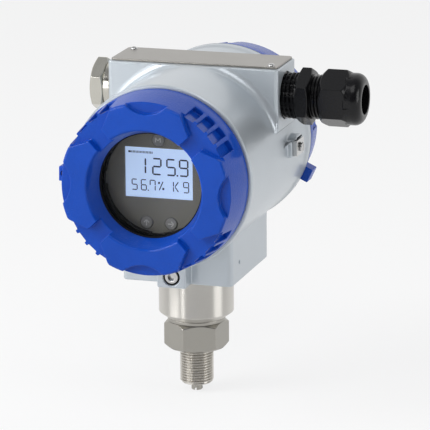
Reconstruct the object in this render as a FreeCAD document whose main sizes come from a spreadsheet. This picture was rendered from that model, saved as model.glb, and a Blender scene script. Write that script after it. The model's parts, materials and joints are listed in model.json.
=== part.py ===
"""Field pressure transmitter: a two-compartment die-cast head on a steel sensor module.

Frame: +Z up, the process axis is x = y = 0 and z = 0 is the shoulder of the process thread, under
the hexagon.  The display cover faces -Y, the terminal cover +Y, the cable gland +X and the blanking
plug -X.  All sizes are millimetres and sit in the spreadsheet "Sizes".
"""
import FreeCAD, Part
import math
import os
import re

import Sketcher
from FreeCAD import Placement, Rotation, Vector

DOC = FreeCAD.newDocument("pressure_transmitter")

# ---------------------------------------------------------------------------------------------
# Driving dimensions
# ---------------------------------------------------------------------------------------------
SIZES = {
    # process connection, turned from stainless bar
    "port_rad": 1.6,            # pressure port
    "spigot_rad": 2.75,
    "spigot_len": 3.9,
    "spigot_bevel": 0.3,
    "spigot_slot": 1.2,         # cross slots in the tip of the spigot
    "spigot_slot_deep": 1.5,
    "thread_rad": 8.33,         # parallel pipe thread, 3/8 inch
    "thread_len": 18.5,
    "thread_deep": 1.3,         # the thread's end is turned down to its root
    "thread_lead": 1.1,
    "hex_flats": 28.0,
    "hex_tall": 13.6,
    "hex_turn": 23.1,           # angle of one corner from +X
    "hex_bevel": 1.6,
    "face_bevel": 0.3,          # every bevelled hexagon's end face lies this far inside its flats
    "weld_neck_rad": 14.2,
    "weld_neck_tall": 1.8,
    "weld_bead": 0.2,
    "pilot_rad": 11.9,
    "pilot_tall": 5.4,
    "pilot_gap": 0.1,
    # sensor body, the cylinder that the head sits on
    "stem_rad": 18.5,
    "stem_bevel": 3.0,
    "stem_top": 48.0,           # shoulder that stops against the head
    "stem_thread_rad": 15.0,
    "stem_thread_tall": 9.5,
    "stem_thread_bevel": 0.8,
    "ledge_rad": 10.0,          # seat of the amplifier board
    "ledge_low": 30.0,
    "ledge_high": 38.0,
    "stem_bore_rad": 12.5,
    "seal_mid": 16.8,           # shoulder seal between the sensor body and the head
    "seal_wire_rad": 0.8,
    "seal_groove_half": 1.1,
    "seal_groove_deep": 1.7,
    "seal_gap": 0.05,
    "cell_gap": 0.3,
    "cell_tall": 8.0,
    "cell_wave": 0.6,
    "cell_wave_rad": 6.5,
    "board_thick": 1.6,
    "board_gap": 0.2,
    # head: barrel along Y
    "barrel_z": 97.5,
    "barrel_rad": 44.2,
    "front_joint": 53.4,        # underside of the front cover's flange, ahead of the process axis
    "rear_joint": 49.2,         # the same for the rear cover, behind it
    "rim_rise": 0.7,            # raised rim at each end of the barrel
    "rim_len": 5.0,
    "rim_run": 2.0,
    "edge_bevel": 0.5,
    "joint_gap": 0.25,
    "cavity_rad": 37.0,
    "cover_thread_rad": 37.9,
    "cover_thread_len": 13.4,
    "screw_gap": 0.3,           # radial room between a screwed cover and its bore
    "bore_relief": 2.0,         # bore past the end of the cover's thread
    "oring_seat_len": 4.0,
    "wall_front": 9.0,          # partition between the compartments
    "wall_rear": 4.0,
    # conduit box across the top of the barrel
    "box_half": 43.2,
    "box_front": 4.2,
    "box_rear": 26.4,
    "box_rise": 0.1,            # top of the box above the top of the barrel
    "box_tall": 31.0,
    "box_round": 2.2,
    "flare_rad": 4.5,
    # neck block under the barrel, with the lug of the rotation lock
    "neck_half_x": 27.8,
    "neck_half_y": 30.5,
    "neck_low": 39.6,
    "neck_round": 2.6,
    "dimple_rad": 0.8,          # small blind hole in the side of the neck
    "dimple_deep": 0.6,
    "dimple_y": 18.0,
    "dimple_z": 49.2,
    "lug_half": 7.2,
    "lug_reach": 9.1,
    "lug_tall": 18.0,
    "lug_round": 0.8,
    "lock_z": 45.1,
    "lock_rad": 2.0,
    "lock_gap": 0.1,
    "lock_head_rad": 3.3,
    "lock_head_len": 4.0,
    "lock_socket": 3.4,
    "lock_socket_deep": 2.0,
    "lock_sink_rad": 4.15,
    "lock_sink": 4.2,
    "lock_seal_wire": 0.36,     # sealing ring round the head of the lock screw
    "lock_seal_in": 0.8,
    "stem_gap": 0.3,
    "thread_room": 0.4,         # past the end of the sensor body's thread
    "wire_hole_rad": 4.5,
    "wire_hole_y": 13.0,
    # conduit entries, slightly tapered
    "conduit_y": 11.1,
    "conduit_down": 15.2,       # axis below the top of the conduit box
    "conduit_rad": 11.5,        # radius of the male taper at its large end
    "conduit_taper": 0.03125,   # radius lost per millimetre
    "conduit_deep": 16.0,
    "conduit_past": 6.0,        # plain hole past the end of the male thread
    "conduit_gap": 0.12,
    # covers
    "cover_rad": 43.4,
    "flange_len": 7.0,
    "flange_bevel": 0.4,
    "cover_thread_bevel": 0.9,
    "oring_land": 3.6,
    "cover_tall": 26.3,
    "lobe_rad": 41.5,
    "rear_lobe_rad": 40.6,
    "lobe_bevel": 0.8,
    "bore_mouth_rad": 28.2,
    "mouth_bevel": 0.7,
    "mouth_taper": 0.6,
    "bore_rad": 25.3,
    "shoulder_out": 15.6,       # step that the window gasket lies against
    "cover_bore_rad": 35.2,
    "bore_slope": 1.8,
    "recess_deep": 3.6,
    "notch_in": 20.0,
    "notch_half": 4.2,
    "notch_out": 34.3,
    "flare_out": 38.9,
    "flare_half": 14.9,
    "recess_out": 52.5,
    "recess_out_half": 18.9,
    "grip_in": 40.5,
    "grip_half": 2.6,
    "grip_low": 9.5,
    "grip_step": 9.8,
    "scallop_in": 36.3,
    "scallop_rad": 14.5,
    "scallop_deep": 3.0,
    "front_cover_turn": -1.4,   # turn of the first wrench recess past 45 degrees
    "rear_cover_turn": 26.2,
    "cap_wall": 5.0,
    "cap_hollow_rad": 34.4,
    "cap_slope": 1.0,
    "ear_root": 3.0,
    "ear_reach": 48.5,
    "ear_half": 3.6,
    "ear_len": 8.0,
    "front_ear_turn": 179.0,
    "rear_ear_turn": -25.0,
    "setscrew_rad": 1.5,
    "setscrew_len": 6.0,
    "setscrew_at": 45.9,
    "setscrew_gap": 0.1,
    "setscrew_sink": 1.0,
    "setscrew_socket": 1.0,
    "setscrew_skin": 0.9,       # closed end of the rear ear's hole
    "oring_rad": 1.25,
    "oring_mid": 38.75,
    "oring_at": 1.8,
    "oring_out_gap": 0.35,
    "oring_in_gap": 0.3,
    # window of the front cover
    "glass_rad": 31.4,
    "glass_thick": 6.0,
    "glass_bevel": 0.6,
    "gasket_thick": 1.0,
    "gasket_lip": 0.4,
    "glass_gap": 0.2,
    "retainer_thick": 3.8,
    "retainer_room": 0.2,
    "retainer_slot_tall": 2.0,
    "retainer_slot_half": 3.0,
    "retainer_slot_deep": 2.4,
    # display module
    "panel_front": 57.0,
    "panel_rad": 29.4,
    "panel_thick": 1.2,
    "panel_skirt": 3.9,
    "panel_wall": 1.5,
    "lcd_view_half": 16.8,
    "lcd_view_tall": 24.4,
    "lcd_up": 3.0,
    "lcd_border": 2.0,
    "lcd_top_border": 0.3,
    "lcd_thick": 2.3,
    "key_rad": 3.0,
    "key_proud": 0.5,
    "key_tall": 3.1,
    "key_flange": 0.5,
    "key_bevel": 0.4,
    "key_plunger_rad": 2.0,
    "key_gap": 0.25,
    "key_side": 6.1,
    "key_low": 21.2,
    "key_room": 0.2,            # between the display module and the key above it
    "switch_side": 4.0,
    "switch_tall": 0.35,
    "carrier_rad": 33.4,
    "carrier_wall": 1.8,
    "carrier_lip": 7.0,
    "board_edge": 0.4,          # display board inside the edge of the panel
    "carrier_front": 51.5,
    "main_board_rad": 33.0,
    "main_board_front": 23.6,
    "post_rad": 3.0,
    "post_at": 27.0,
    "seat_gap": 0.02,
    "screw_head_rad": 2.7,
    "screw_head_tall": 2.0,
    # terminal block behind the rear cover
    "block_half": 25.0,
    "block_tall": 18.0,
    "block_thick": 12.0,
    "block_up": -4.0,
    "rib_thick": 1.6,
    "rib_tall": 4.0,
    "terminal_step": 9.6,
    "terminal_rad": 2.8,
    "terminal_tall": 2.2,
    "terminal_slot": 0.8,
    "terminal_slot_deep": 1.0,
    "clamp_side": 7.0,
    "clamp_thick": 1.4,
    "inner_ground_x": 20.0,
    "inner_ground_down": 22.0,
    "inner_washer_rad": 3.6,
    "inner_washer_thick": 1.2,
    "inner_head_rad": 2.7,
    "inner_head_tall": 2.2,
    # nameplate
    "plate_half": 42.1,
    "plate_front": 2.4,
    "plate_rear": 25.8,
    "plate_thick": 1.0,
    "plate_round": 2.0,
    "rivet_rad": 1.8,
    "rivet_tall": 1.2,
    "rivet_in": 3.8,
    # blanking plug
    "plug_flats": 24.0,
    "plug_collar_rad": 11.8,
    "plug_collar_len": 4.0,
    "plug_hex_len": 6.6,
    "plug_bevel": 1.0,
    "plug_turn": 4.0,
    # cable gland
    "gland_out": 7.3,           # thread that stays in view between the box and the hexagon
    "gland_flats": 25.0,
    "gland_hex_len": 6.5,
    "gland_bevel": 1.1,
    "gland_turn": 3.0,
    "gland_collar_rad": 10.9,
    "gland_collar_len": 3.6,
    "gland_thread_rad": 10.1,
    "gland_thread_len": 8.5,
    "gland_bore_rad": 8.3,
    "claw_len": 6.0,
    "claw_rad": 9.6,
    "claw_tip_rad": 8.9,
    "claw_bevel": 2.0,
    "claw_slot_half": 0.7,
    "claw_room": 1.0,
    "nut_stand": 1.4,           # cap nut clear of the gland's collar
    "nut_gap": 0.3,
    "nut_len": 20.7,
    "nut_hex_len": 14.2,
    "nut_bevel": 2.4,
    "nut_dome_rad": 12.7,
    "nut_dome_start": 12.6,
    "nut_nose": 4.6,
    "nut_mouth_rad": 7.2,
    "nut_mouth_len": 3.5,
    "seal_bore_rad": 4.6,
    "seal_len": 13.0,
    "seal_in": 3.0,
    # outer ground terminal on the barrel
    "pad_rise": 2.2,            # face of the pad outside the barrel
    "pad_root": 9.0,
    "pad_round": 1.2,
    "pad_front": 9.0,
    "pad_rear": 24.0,
    "pad_low": 95.6,
    "pad_high": 104.8,
    "arch_rad": 14.0,           # cast arch over the terminal, which keeps the clamp from turning
    "arch_tall": 1.5,
    "arch_rise": 1.6,
    "arch_limit": 0.2,
    "saddle_thick": 2.3,
    "saddle_half_y": 5.8,
    "saddle_half_z": 3.9,
    "saddle_bevel": 0.5,
    "saddle_y": 16.3,
    "ground_head_rad": 2.3,
    "ground_head_tall": 1.25,
    "ground_slot": 0.8,
    "ground_slot_deep": 0.7,
    # construction
    "run_out": 1.0,             # how far a cut runs past the face that it opens
}

# places that follow from the driving dimensions
RIM_RAD = "(barrel_rad + rim_rise)"
BOX_TOP = "(barrel_z + barrel_rad + box_rise)"
BOX_LOW = "(barrel_z + barrel_rad + box_rise - box_tall)"
CONDUIT_Z = "(barrel_z + barrel_rad + box_rise - conduit_down)"
PAD_OUT = "(barrel_rad + pad_rise)"
KEY_HIGH = "(lcd_up + lcd_view_tall / 2 + lcd_top_border + key_room + key_rad + 2 * key_gap)"

sheet = DOC.addObject("Spreadsheet::Sheet", "Sizes")
for row, (size_name, size_value) in enumerate(SIZES.items(), start=1):
    sheet.set("A%d" % row, size_name)
    sheet.set("B%d" % row, str(size_value))
    sheet.setAlias("B%d" % row, size_name)
DOC.recompute()

ALONG = {"X": Rotation(Vector(0, 1, 0), 90), "Y": Rotation(Vector(1, 0, 0), -90), "Z": Rotation()}
NODES = {}


def cells(formula):
    """Turn a formula in plain size names into a spreadsheet expression."""
    return re.sub(r"[a-z][a-z_0-9]*", lambda hit: "Sizes." + hit.group(0)
                  if hit.group(0) in SIZES else hit.group(0), str(formula))


def bind(thing, **formulas):
    """Bind properties of an object, such as Radius or Height, to formulas."""
    for prop, formula in formulas.items():
        thing.setExpression(prop, cells(formula))


def place(thing, at, turn=None):
    """Place an object: a fixed turn, and an origin whose three coordinates are formulas."""
    if turn is not None:
        thing.Placement = Placement(Vector(0, 0, 0), turn)
    for axis, formula in zip("xyz", at):
        thing.setExpression("Placement.Base." + axis, cells(formula))


def node(name, thing):
    """Name the finished object of one physical piece."""
    thing.Label = name
    NODES[name] = thing
    return thing


# ---------------------------------------------------------------------------------------------
# Part primitives
# ---------------------------------------------------------------------------------------------
def rod(name, along, at, rad, length):
    """Cylinder that runs in the positive sense of an axis from a point."""
    thing = DOC.addObject("Part::Cylinder", name)
    bind(thing, Radius=rad, Height=length)
    place(thing, at, ALONG[along])
    return thing


def cone(name, along, at, start_rad, end_rad, length):
    """Cone that runs in the positive sense of an axis from a point."""
    thing = DOC.addObject("Part::Cone", name)
    bind(thing, Radius1=start_rad, Radius2=end_rad, Height=length)
    place(thing, at, ALONG[along])
    return thing


def block(name, at, length, width, height):
    """Box from its lowest corner."""
    thing = DOC.addObject("Part::Box", name)
    bind(thing, Length=length, Width=width, Height=height)
    place(thing, at)
    return thing


def ring(name, along, at, mid_rad, wire_rad):
    """Torus about an axis."""
    thing = DOC.addObject("Part::Torus", name)
    bind(thing, Radius1=mid_rad, Radius2=wire_rad)
    place(thing, at, ALONG[along])
    return thing


def hexagon(name, along, at, flats, length, corner=0.0):
    """Hexagonal bar; corner is the angle of one corner about the axis."""
    thing = DOC.addObject("Part::Prism", name)
    thing.Polygon = 6
    bind(thing, Circumradius="(%s) / sqrt(3)" % flats, Height=length)
    place(thing, at, ALONG[along].multiply(Rotation(Vector(0, 0, 1), corner)))
    return thing


def bevelled_hexagon(name, along, at, flats, length, corner, bevel, bore="0"):
    """Hexagonal bar whose corners are turned off in a cone at both ends."""
    bar = hexagon(name + "_bar", along, at, flats, length, corner)
    face = "(%s / 2 - face_bevel)" % flats
    waist = "%s + %s / 2 * (%s / sqrt(3) - %s) / %s" % (face, length, flats, face, bevel)
    shave = turned(name + "_shave", along, [
        ("0", bore), ("0", face), ("%s / 2" % length, waist), (length, face), (length, bore)], at=at)
    return common(name, bar, shave)


def dome(name, at, rad, tall):
    """Flat-bottomed round head: the top slice of a ball."""
    ball = DOC.addObject("Part::Sphere", name + "_ball")
    ball_rad = "(%s ^ 2 + %s ^ 2) / (2 * %s)" % (rad, tall, tall)
    bind(ball, Radius=ball_rad)
    place(ball, (at[0], at[1], "%s + %s - %s" % (at[2], tall, ball_rad)))
    return common(name, ball, rod(name + "_blank", "Z", at, rad, tall))


def fuse(name, *things):
    """Union of several objects."""
    thing = DOC.addObject("Part::MultiFuse", name)
    thing.Shapes = list(things)
    thing.Refine = True
    return thing


def common(name, *things):
    """Intersection of several objects."""
    thing = DOC.addObject("Part::MultiCommon", name)
    thing.Shapes = list(things)
    return thing


def cut(name, base, *tools):
    """Base less every tool."""
    thing = DOC.addObject("Part::Cut", name)
    thing.Base = base
    if len(tools) > 1:
        thing.Tool = DOC.addObject("Part::MultiFuse", name + "_tools")
        thing.Tool.Shapes = list(tools)
    else:
        thing.Tool = tools[0]
    thing.Refine = True
    return thing


def soften(name, base, radius, wanted):
    """Round the edges of base that the test picks out by their shape and place."""
    DOC.recompute()
    picked = [(number, radius, radius) for number, edge in enumerate(base.Shape.Edges, start=1)
              if wanted(edge)]
    if not picked:
        raise RuntimeError("no edge to round on " + name)
    thing = DOC.addObject("Part::Fillet", name)
    thing.Base = base
    thing.Edges = picked
    return thing


def upright(edge):
    """Whether an edge is a straight line along Z."""
    if not isinstance(edge.Curve, (Part.Line, Part.LineSegment)):
        return False
    return abs(abs(edge.tangentAt(edge.FirstParameter).z) - 1) < 1e-6


# ---------------------------------------------------------------------------------------------
# PartDesign helpers
# ---------------------------------------------------------------------------------------------
def origin_piece(body, role):
    """Plane or axis of a body's own origin, by its role."""
    return [piece for piece in body.Origin.OriginFeatures if piece.Role == role][0]


def outline(body, name, plane, points, lift="0", turn="0"):
    """Closed sketch of straight lines; each point is a pair of formulas, tied to the origin."""
    sketch = body.newObject("Sketcher::SketchObject", name)
    sketch.AttachmentSupport = [(origin_piece(body, plane), "")]
    sketch.MapMode = "FlatFace"
    if lift != "0":
        sketch.setExpression("AttachmentOffset.Base.z", cells(lift))
    if turn != "0":
        sketch.setExpression("AttachmentOffset.Rotation.Angle", cells(turn))
    count = len(points)
    far = 2 * SIZES["barrel_rad"]      # the sketch starts as a regular polygon out there
    start = [Vector(far + SIZES["barrel_rad"] * math.cos(2 * math.pi * k / count),
                    far + SIZES["barrel_rad"] * math.sin(2 * math.pi * k / count), 0)
             for k in range(count)]
    for k in range(count):
        sketch.addGeometry(Part.LineSegment(start[k], start[(k + 1) % count]))
    rules = [Sketcher.Constraint("Coincident", k, 2, (k + 1) % count, 1) for k in range(count)]
    bound = []
    for k, pair in enumerate(points):
        for way, formula, axis in (("DistanceX", pair[0], -2), ("DistanceY", pair[1], -1)):
            if formula == "0":
                rules.append(Sketcher.Constraint("PointOnObject", k, 1, axis))
                continue
            here = start[k].x if way == "DistanceX" else start[k].y
            rules.append(Sketcher.Constraint(way, -1, 1, k, 1, here))
            bound.append((len(rules) - 1, "%s_%d" % (way[-1].lower(), k), formula))
    sketch.addConstraint(rules)
    for number, label, formula in bound:
        sketch.renameConstraint(number, label)
        sketch.setExpression("Constraints." + label, cells(formula))
    return sketch


def turned(name, along, points, at=("0", "0", "0"), turn=None):
    """Body of revolution about an axis; points are (distance along, radius) formulas."""
    body = DOC.addObject("PartDesign::Body", name)
    if along == "X":
        sketch = outline(body, name + "_profile", "XY_Plane", points)
        axis = "H_Axis"
    else:
        plane = "XY_Plane" if along == "Y" else "XZ_Plane"
        sketch = outline(body, name + "_profile", plane, [(pair[1], pair[0]) for pair in points])
        axis = "V_Axis"
    spin = body.newObject("PartDesign::Revolution", name + "_spin")
    spin.Profile = sketch
    spin.ReferenceAxis = (sketch, [axis])
    spin.Angle = 360
    body.Tip = spin
    place(body, at, turn)
    return body


def pocket(body, name, sketch, depth):
    """Blind pocket from a sketch, into the solid."""
    feature = body.newObject("PartDesign::Pocket", name)
    feature.Profile = sketch
    feature.setExpression("Length", cells(depth))
    body.Tip = feature
    return feature


def pad(body, name, sketch, length):
    """Pad from a sketch."""
    feature = body.newObject("PartDesign::Pad", name)
    feature.Profile = sketch
    feature.setExpression("Length", cells(length))
    body.Tip = feature
    return feature


def rectangle(left, right, low, high):
    """Corners of a rectangle, as formulas."""
    return [(left, low), (right, low), (right, high), (left, high)]


# ---------------------------------------------------------------------------------------------
# Sensor module
# ---------------------------------------------------------------------------------------------
def sensor_module():
    """Process fitting, sensor body, pressure cell, amplifier board and shoulder seal."""
    neck_top = "hex_tall + weld_neck_tall"
    bar = turned("fitting_turned", "Z", [
        ("-thread_len - spigot_len", "port_rad"),
        ("-thread_len - spigot_len", "spigot_rad - spigot_bevel"),
        ("-thread_len - spigot_len + spigot_bevel", "spigot_rad"),
        ("-thread_len", "spigot_rad"),
        ("-thread_len", "thread_rad - thread_deep"),
        ("-thread_len + thread_lead", "thread_rad"),
        ("hex_tall", "thread_rad"),
        ("hex_tall", "weld_neck_rad"),
        (neck_top, "weld_neck_rad"),
        (neck_top, "pilot_rad"),
        (neck_top + " + pilot_tall", "pilot_rad"),
        (neck_top + " + pilot_tall", "port_rad")])
    flats = bevelled_hexagon("fitting_hex", "Z", ("0", "0", "0"), "hex_flats", "hex_tall",
                             SIZES["hex_turn"], "hex_bevel", "port_rad")
    tip = "-thread_len - spigot_len - run_out"
    slots = [block("spigot_slot_x", ("-spigot_rad - run_out", "-spigot_slot / 2", tip),
                   "2 * (spigot_rad + run_out)", "spigot_slot", "spigot_slot_deep + run_out"),
             block("spigot_slot_y", ("-spigot_slot / 2", "-spigot_rad - run_out", tip),
                   "spigot_slot", "2 * (spigot_rad + run_out)", "spigot_slot_deep + run_out")]
    node("process_fitting", cut("process_fitting", fuse("fitting_solid", bar, flats), *slots))

    foot = neck_top + " + seat_gap"
    node("sensor_body", turned("sensor_body", "Z", [
        (foot, "pilot_rad + pilot_gap"),
        (foot, "weld_neck_rad + weld_bead"),
        (foot + " + stem_bevel", "stem_rad"),
        ("stem_top", "stem_rad"),
        ("stem_top", "seal_mid + seal_groove_half"),
        ("stem_top - seal_groove_deep", "seal_mid + seal_groove_half"),
        ("stem_top - seal_groove_deep", "seal_mid - seal_groove_half"),
        ("stem_top", "seal_mid - seal_groove_half"),
        ("stem_top", "stem_thread_rad"),
        ("stem_top + stem_thread_tall - stem_thread_bevel", "stem_thread_rad"),
        ("stem_top + stem_thread_tall", "stem_thread_rad - stem_thread_bevel"),
        ("stem_top + stem_thread_tall", "stem_bore_rad"),
        ("ledge_high", "stem_bore_rad"),
        ("ledge_high", "ledge_rad"),
        ("ledge_low", "ledge_rad"),
        ("ledge_low", "pilot_rad + pilot_gap")]))

    cell_low = neck_top + " + pilot_tall + seat_gap"
    cell_top = cell_low + " + cell_tall"
    node("pressure_cell", turned("pressure_cell", "Z", [
        (cell_low, "0"),
        (cell_low, "pilot_rad - cell_gap"),
        (cell_top, "pilot_rad - cell_gap"),
        (cell_top, "cell_wave_rad"),
        (cell_top + " + cell_wave", "cell_wave_rad - cell_wave"),
        (cell_top + " + cell_wave", "0")]))
    node("amplifier_board", rod("amplifier_board", "Z", ("0", "0", "ledge_high + seat_gap"),
                                "stem_bore_rad - board_gap", "board_thick"))
    node("shoulder_seal", ring("shoulder_seal", "Z", (
        "0", "0", "stem_top - seal_groove_deep + seal_wire_rad + seal_gap"),
        "seal_mid", "seal_wire_rad"))


# ---------------------------------------------------------------------------------------------
# Head casting
# ---------------------------------------------------------------------------------------------
def barrel_outside():
    """Outside of the barrel, with a slightly raised rim at each end."""
    front = "-front_joint + joint_gap"
    rear = "rear_joint - joint_gap"
    return turned("barrel_outside", "Y", [
        (front, "0"), (front, RIM_RAD + " - edge_bevel"), (front + " + edge_bevel", RIM_RAD),
        (front + " + rim_len", RIM_RAD), (front + " + rim_len + rim_run", "barrel_rad"),
        (rear + " - rim_len - rim_run", "barrel_rad"), (rear + " - rim_len", RIM_RAD),
        (rear + " - edge_bevel", RIM_RAD), (rear, RIM_RAD + " - edge_bevel"), (rear, "0")],
        at=("0", "0", "barrel_z"))


def compartment(name, sense, joint, wall):
    """Stepped bore of one compartment: O-ring seat, cover thread and cavity."""
    mouth = "%s * (%s + run_out)" % (sense, joint)
    seat = "%s * (%s - oring_seat_len)" % (sense, joint)
    bore_end = "%s * (%s - cover_thread_len - bore_relief)" % (sense, joint)
    floor = "%s * %s" % (sense, wall) if sense == "1" else "-" + wall
    seat_rad = "oring_mid + oring_rad + oring_out_gap"
    return turned(name, "Y", [
        (floor, "0"), (floor, "cavity_rad"), (bore_end, "cavity_rad"),
        (bore_end, "cover_thread_rad + screw_gap"), (seat, "cover_thread_rad + screw_gap"),
        (seat, seat_rad), (mouth, seat_rad), (mouth, "0")], at=("0", "0", "barrel_z"))


def flare(name, y_face, sense):
    """Concave fillet where the barrel runs into one face of the conduit box."""
    wide = "barrel_rad + flare_rad"
    start = "%s - flare_rad" % y_face if sense > 0 else y_face
    torus_y = start if sense > 0 else "%s + flare_rad" % y_face
    disc = rod(name + "_disc", "Y", ("0", start, "barrel_z"), wide, "flare_rad")
    hollow = ring(name + "_hollow", "Y", ("0", torus_y, "barrel_z"), wide, "flare_rad")
    limits = block(name + "_limits", ("-box_half", start, BOX_LOW),
                   "2 * box_half", "flare_rad", BOX_TOP + " - " + BOX_LOW)
    return common(name, cut(name + "_ring", disc, hollow), limits)


def conduit_hole(name, sense):
    """Tapered hole of one conduit entry, from the box face inwards."""
    mouth = "conduit_rad + conduit_gap - conduit_taper * gland_out"
    length = "conduit_deep + conduit_past"
    end = mouth + " - conduit_taper * (%s)" % length
    if sense > 0:
        return cone(name, "X", ("box_half - conduit_deep - conduit_past", "conduit_y", CONDUIT_Z),
                    end, mouth, length)
    return cone(name, "X", ("-box_half", "conduit_y", CONDUIT_Z), mouth, end, length)


def housing():
    """The aluminium casting, bored from both ends, from below and from both sides."""
    box = block("conduit_box_raw", ("-box_half", "-box_front", BOX_LOW),
                "2 * box_half", "box_front + box_rear", BOX_TOP + " - " + BOX_LOW)
    box = soften("conduit_box", box, SIZES["box_round"], upright)
    neck = block("neck_raw", ("-neck_half_x", "-neck_half_y", "neck_low"),
                 "2 * neck_half_x", "2 * neck_half_y", "barrel_z - neck_low - cavity_rad / 2")
    neck = soften("neck_block", neck, SIZES["neck_round"], upright)
    lug = block("lug_raw", ("-lug_half", "-neck_half_y - lug_reach", "neck_low"),
                "2 * lug_half", "lug_reach + neck_round", "lug_tall")
    lug = soften("lug", lug, SIZES["lug_round"], upright)
    pad_block = block("ground_pad", ("barrel_rad - pad_root", "pad_front", "pad_low"),
                      "pad_root + pad_rise", "pad_rear - pad_front", "pad_high - pad_low")
    pad_block = soften("ground_pad_round", pad_block, SIZES["pad_round"],
                       lambda edge: abs(edge.tangentAt(edge.FirstParameter).x) > 0.99)
    arch_length = "pad_root + pad_rise + arch_rise"
    arch = common("ground_arch",
                  rod("arch_rod", "X", ("barrel_rad - pad_root", "saddle_y",
                                        "pad_high + arch_tall - arch_rad"), "arch_rad", arch_length),
                  block("arch_limits", ("barrel_rad - pad_root", "saddle_y - arch_rad",
                                        "pad_high - arch_limit"),
                        arch_length, "2 * arch_rad", "arch_rad"))
    solid = fuse("casting_outside", barrel_outside(), box, neck, lug, pad_block, arch,
                 flare("front_flare", "-box_front", 1), flare("rear_flare", "box_rear", -1))

    stem = rod("stem_bore", "Z", ("0", "0", "neck_low - run_out"), "stem_rad + stem_gap",
               "stem_top - neck_low + run_out + seat_gap")
    stem_thread = rod("stem_thread_bore", "Z", ("0", "0", "stem_top - run_out"),
                      "stem_thread_rad + stem_gap", "stem_thread_tall + run_out + thread_room")
    thread_top = "stem_top + stem_thread_tall"
    wires = rod("wire_hole", "Z", ("0", "-wire_hole_y", thread_top + " - run_out"),
                "wire_hole_rad",
                "barrel_z - cavity_rad + wire_hole_rad + run_out - stem_top - stem_thread_tall")
    lug_face = "-neck_half_y - lug_reach - run_out"
    lock_hole = rod("lock_hole", "Y", ("0", lug_face, "lock_z"),
                    "lock_rad + lock_gap", "neck_half_y + lug_reach")
    lock_sink = rod("lock_sink_hole", "Y", ("0", lug_face, "lock_z"),
                    "lock_sink_rad", "lock_sink + run_out")
    dimple = rod("neck_dimple", "X", ("neck_half_x - dimple_deep", "-dimple_y", "dimple_z"),
                 "dimple_rad", "dimple_deep + run_out")
    node("housing", cut("housing", solid,
                        compartment("front_compartment", "-1", "front_joint", "wall_front"),
                        compartment("rear_compartment", "1", "rear_joint", "wall_rear"),
                        stem, stem_thread, wires, lock_hole, lock_sink, dimple,
                        conduit_hole("gland_hole", 1), conduit_hole("plug_hole", -1)))


def lock_screw():
    """Socket screw that stops the head from turning on the sensor body, and its sealing ring."""
    head_y = "-neck_half_y - lug_reach + lock_sink"
    head = rod("lock_head", "Y", ("0", head_y + " - lock_head_len", "lock_z"),
               "lock_head_rad", "lock_head_len")
    shank = rod("lock_shank", "Y", ("0", head_y, "lock_z"), "lock_rad",
                "neck_half_y + lug_reach - lock_sink - stem_rad - lock_gap")
    socket = hexagon("lock_socket_hex", "Y", ("0", head_y + " - lock_head_len - run_out", "lock_z"),
                     "lock_socket", "lock_socket_deep + run_out")
    node("rotation_lock_screw",
         cut("rotation_lock_screw", fuse("lock_solid", head, shank), socket))
    node("lock_screw_seal", ring("lock_screw_seal", "Y", (
        "0", "-neck_half_y - lug_reach + lock_seal_in", "lock_z"),
        "(lock_head_rad + lock_sink_rad) / 2", "lock_seal_wire"))


# ---------------------------------------------------------------------------------------------
# Covers
# ---------------------------------------------------------------------------------------------
def cover_outline(windowed):
    """Profile of a cover from its thread to its face and back through its bore or hollow."""
    groove = "oring_mid - oring_rad - oring_in_gap"
    lobe_rad = "lobe_rad" if windowed else "rear_lobe_rad"
    outside = [
        ("cover_thread_len", "cover_thread_rad - cover_thread_bevel"),
        ("cover_thread_len - cover_thread_bevel", "cover_thread_rad"),
        ("oring_land", "cover_thread_rad"), ("oring_land", groove), ("0", groove),
        ("0", "cover_rad - flange_bevel"), ("-flange_bevel", "cover_rad"),
        ("-flange_len", "cover_rad"), ("-cover_tall + lobe_bevel", lobe_rad),
        ("-cover_tall", lobe_rad + " - lobe_bevel")]
    mouth = [("-cover_tall", "bore_mouth_rad + mouth_bevel"),
             ("-cover_tall + mouth_bevel", "bore_mouth_rad")]
    if windowed:
        seat_end = "-shoulder_out + gasket_thick + glass_thick + retainer_thick + retainer_room"
        return outside + mouth + [
            ("-shoulder_out", "bore_rad"), ("-shoulder_out", "glass_rad + glass_gap"),
            (seat_end, "glass_rad + glass_gap"), (seat_end + " + bore_slope", "cover_bore_rad"),
            ("cover_thread_len", "cover_bore_rad")]
    return outside + mouth + [
        ("-cover_tall + recess_deep", "bore_mouth_rad - mouth_taper"),
        ("-cover_tall + recess_deep", "0"), ("-cover_tall + recess_deep + cap_wall", "0"),
        ("-cover_tall + recess_deep + cap_wall", "cap_hollow_rad"),
        ("-grip_low + cap_slope", "cover_bore_rad"), ("cover_thread_len", "cover_bore_rad")]


def scallop(body, name):
    """Round bite out of the rim of the face, half-way between two wrench recesses."""
    sketch = body.newObject("Sketcher::SketchObject", name + "_sketch")
    sketch.AttachmentSupport = [(origin_piece(body, "XZ_Plane"), "")]
    sketch.MapMode = "FlatFace"
    sketch.setExpression("AttachmentOffset.Base.z", cells("cover_tall"))
    sketch.setExpression("AttachmentOffset.Rotation.Angle", "45")
    middle = SIZES["scallop_in"] + SIZES["scallop_rad"]
    sketch.addGeometry(Part.Circle(Vector(middle, 0, 0), Vector(0, 0, 1), SIZES["scallop_rad"]))
    sketch.addConstraint([Sketcher.Constraint("PointOnObject", 0, 3, -1),
                          Sketcher.Constraint("DistanceX", -1, 1, 0, 3, middle),
                          Sketcher.Constraint("Radius", 0, SIZES["scallop_rad"])])
    sketch.setExpression("Constraints[1]", cells("scallop_in + scallop_rad"))
    sketch.setExpression("Constraints[2]", cells("scallop_rad"))
    return pocket(body, name, sketch, "scallop_deep")


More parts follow.
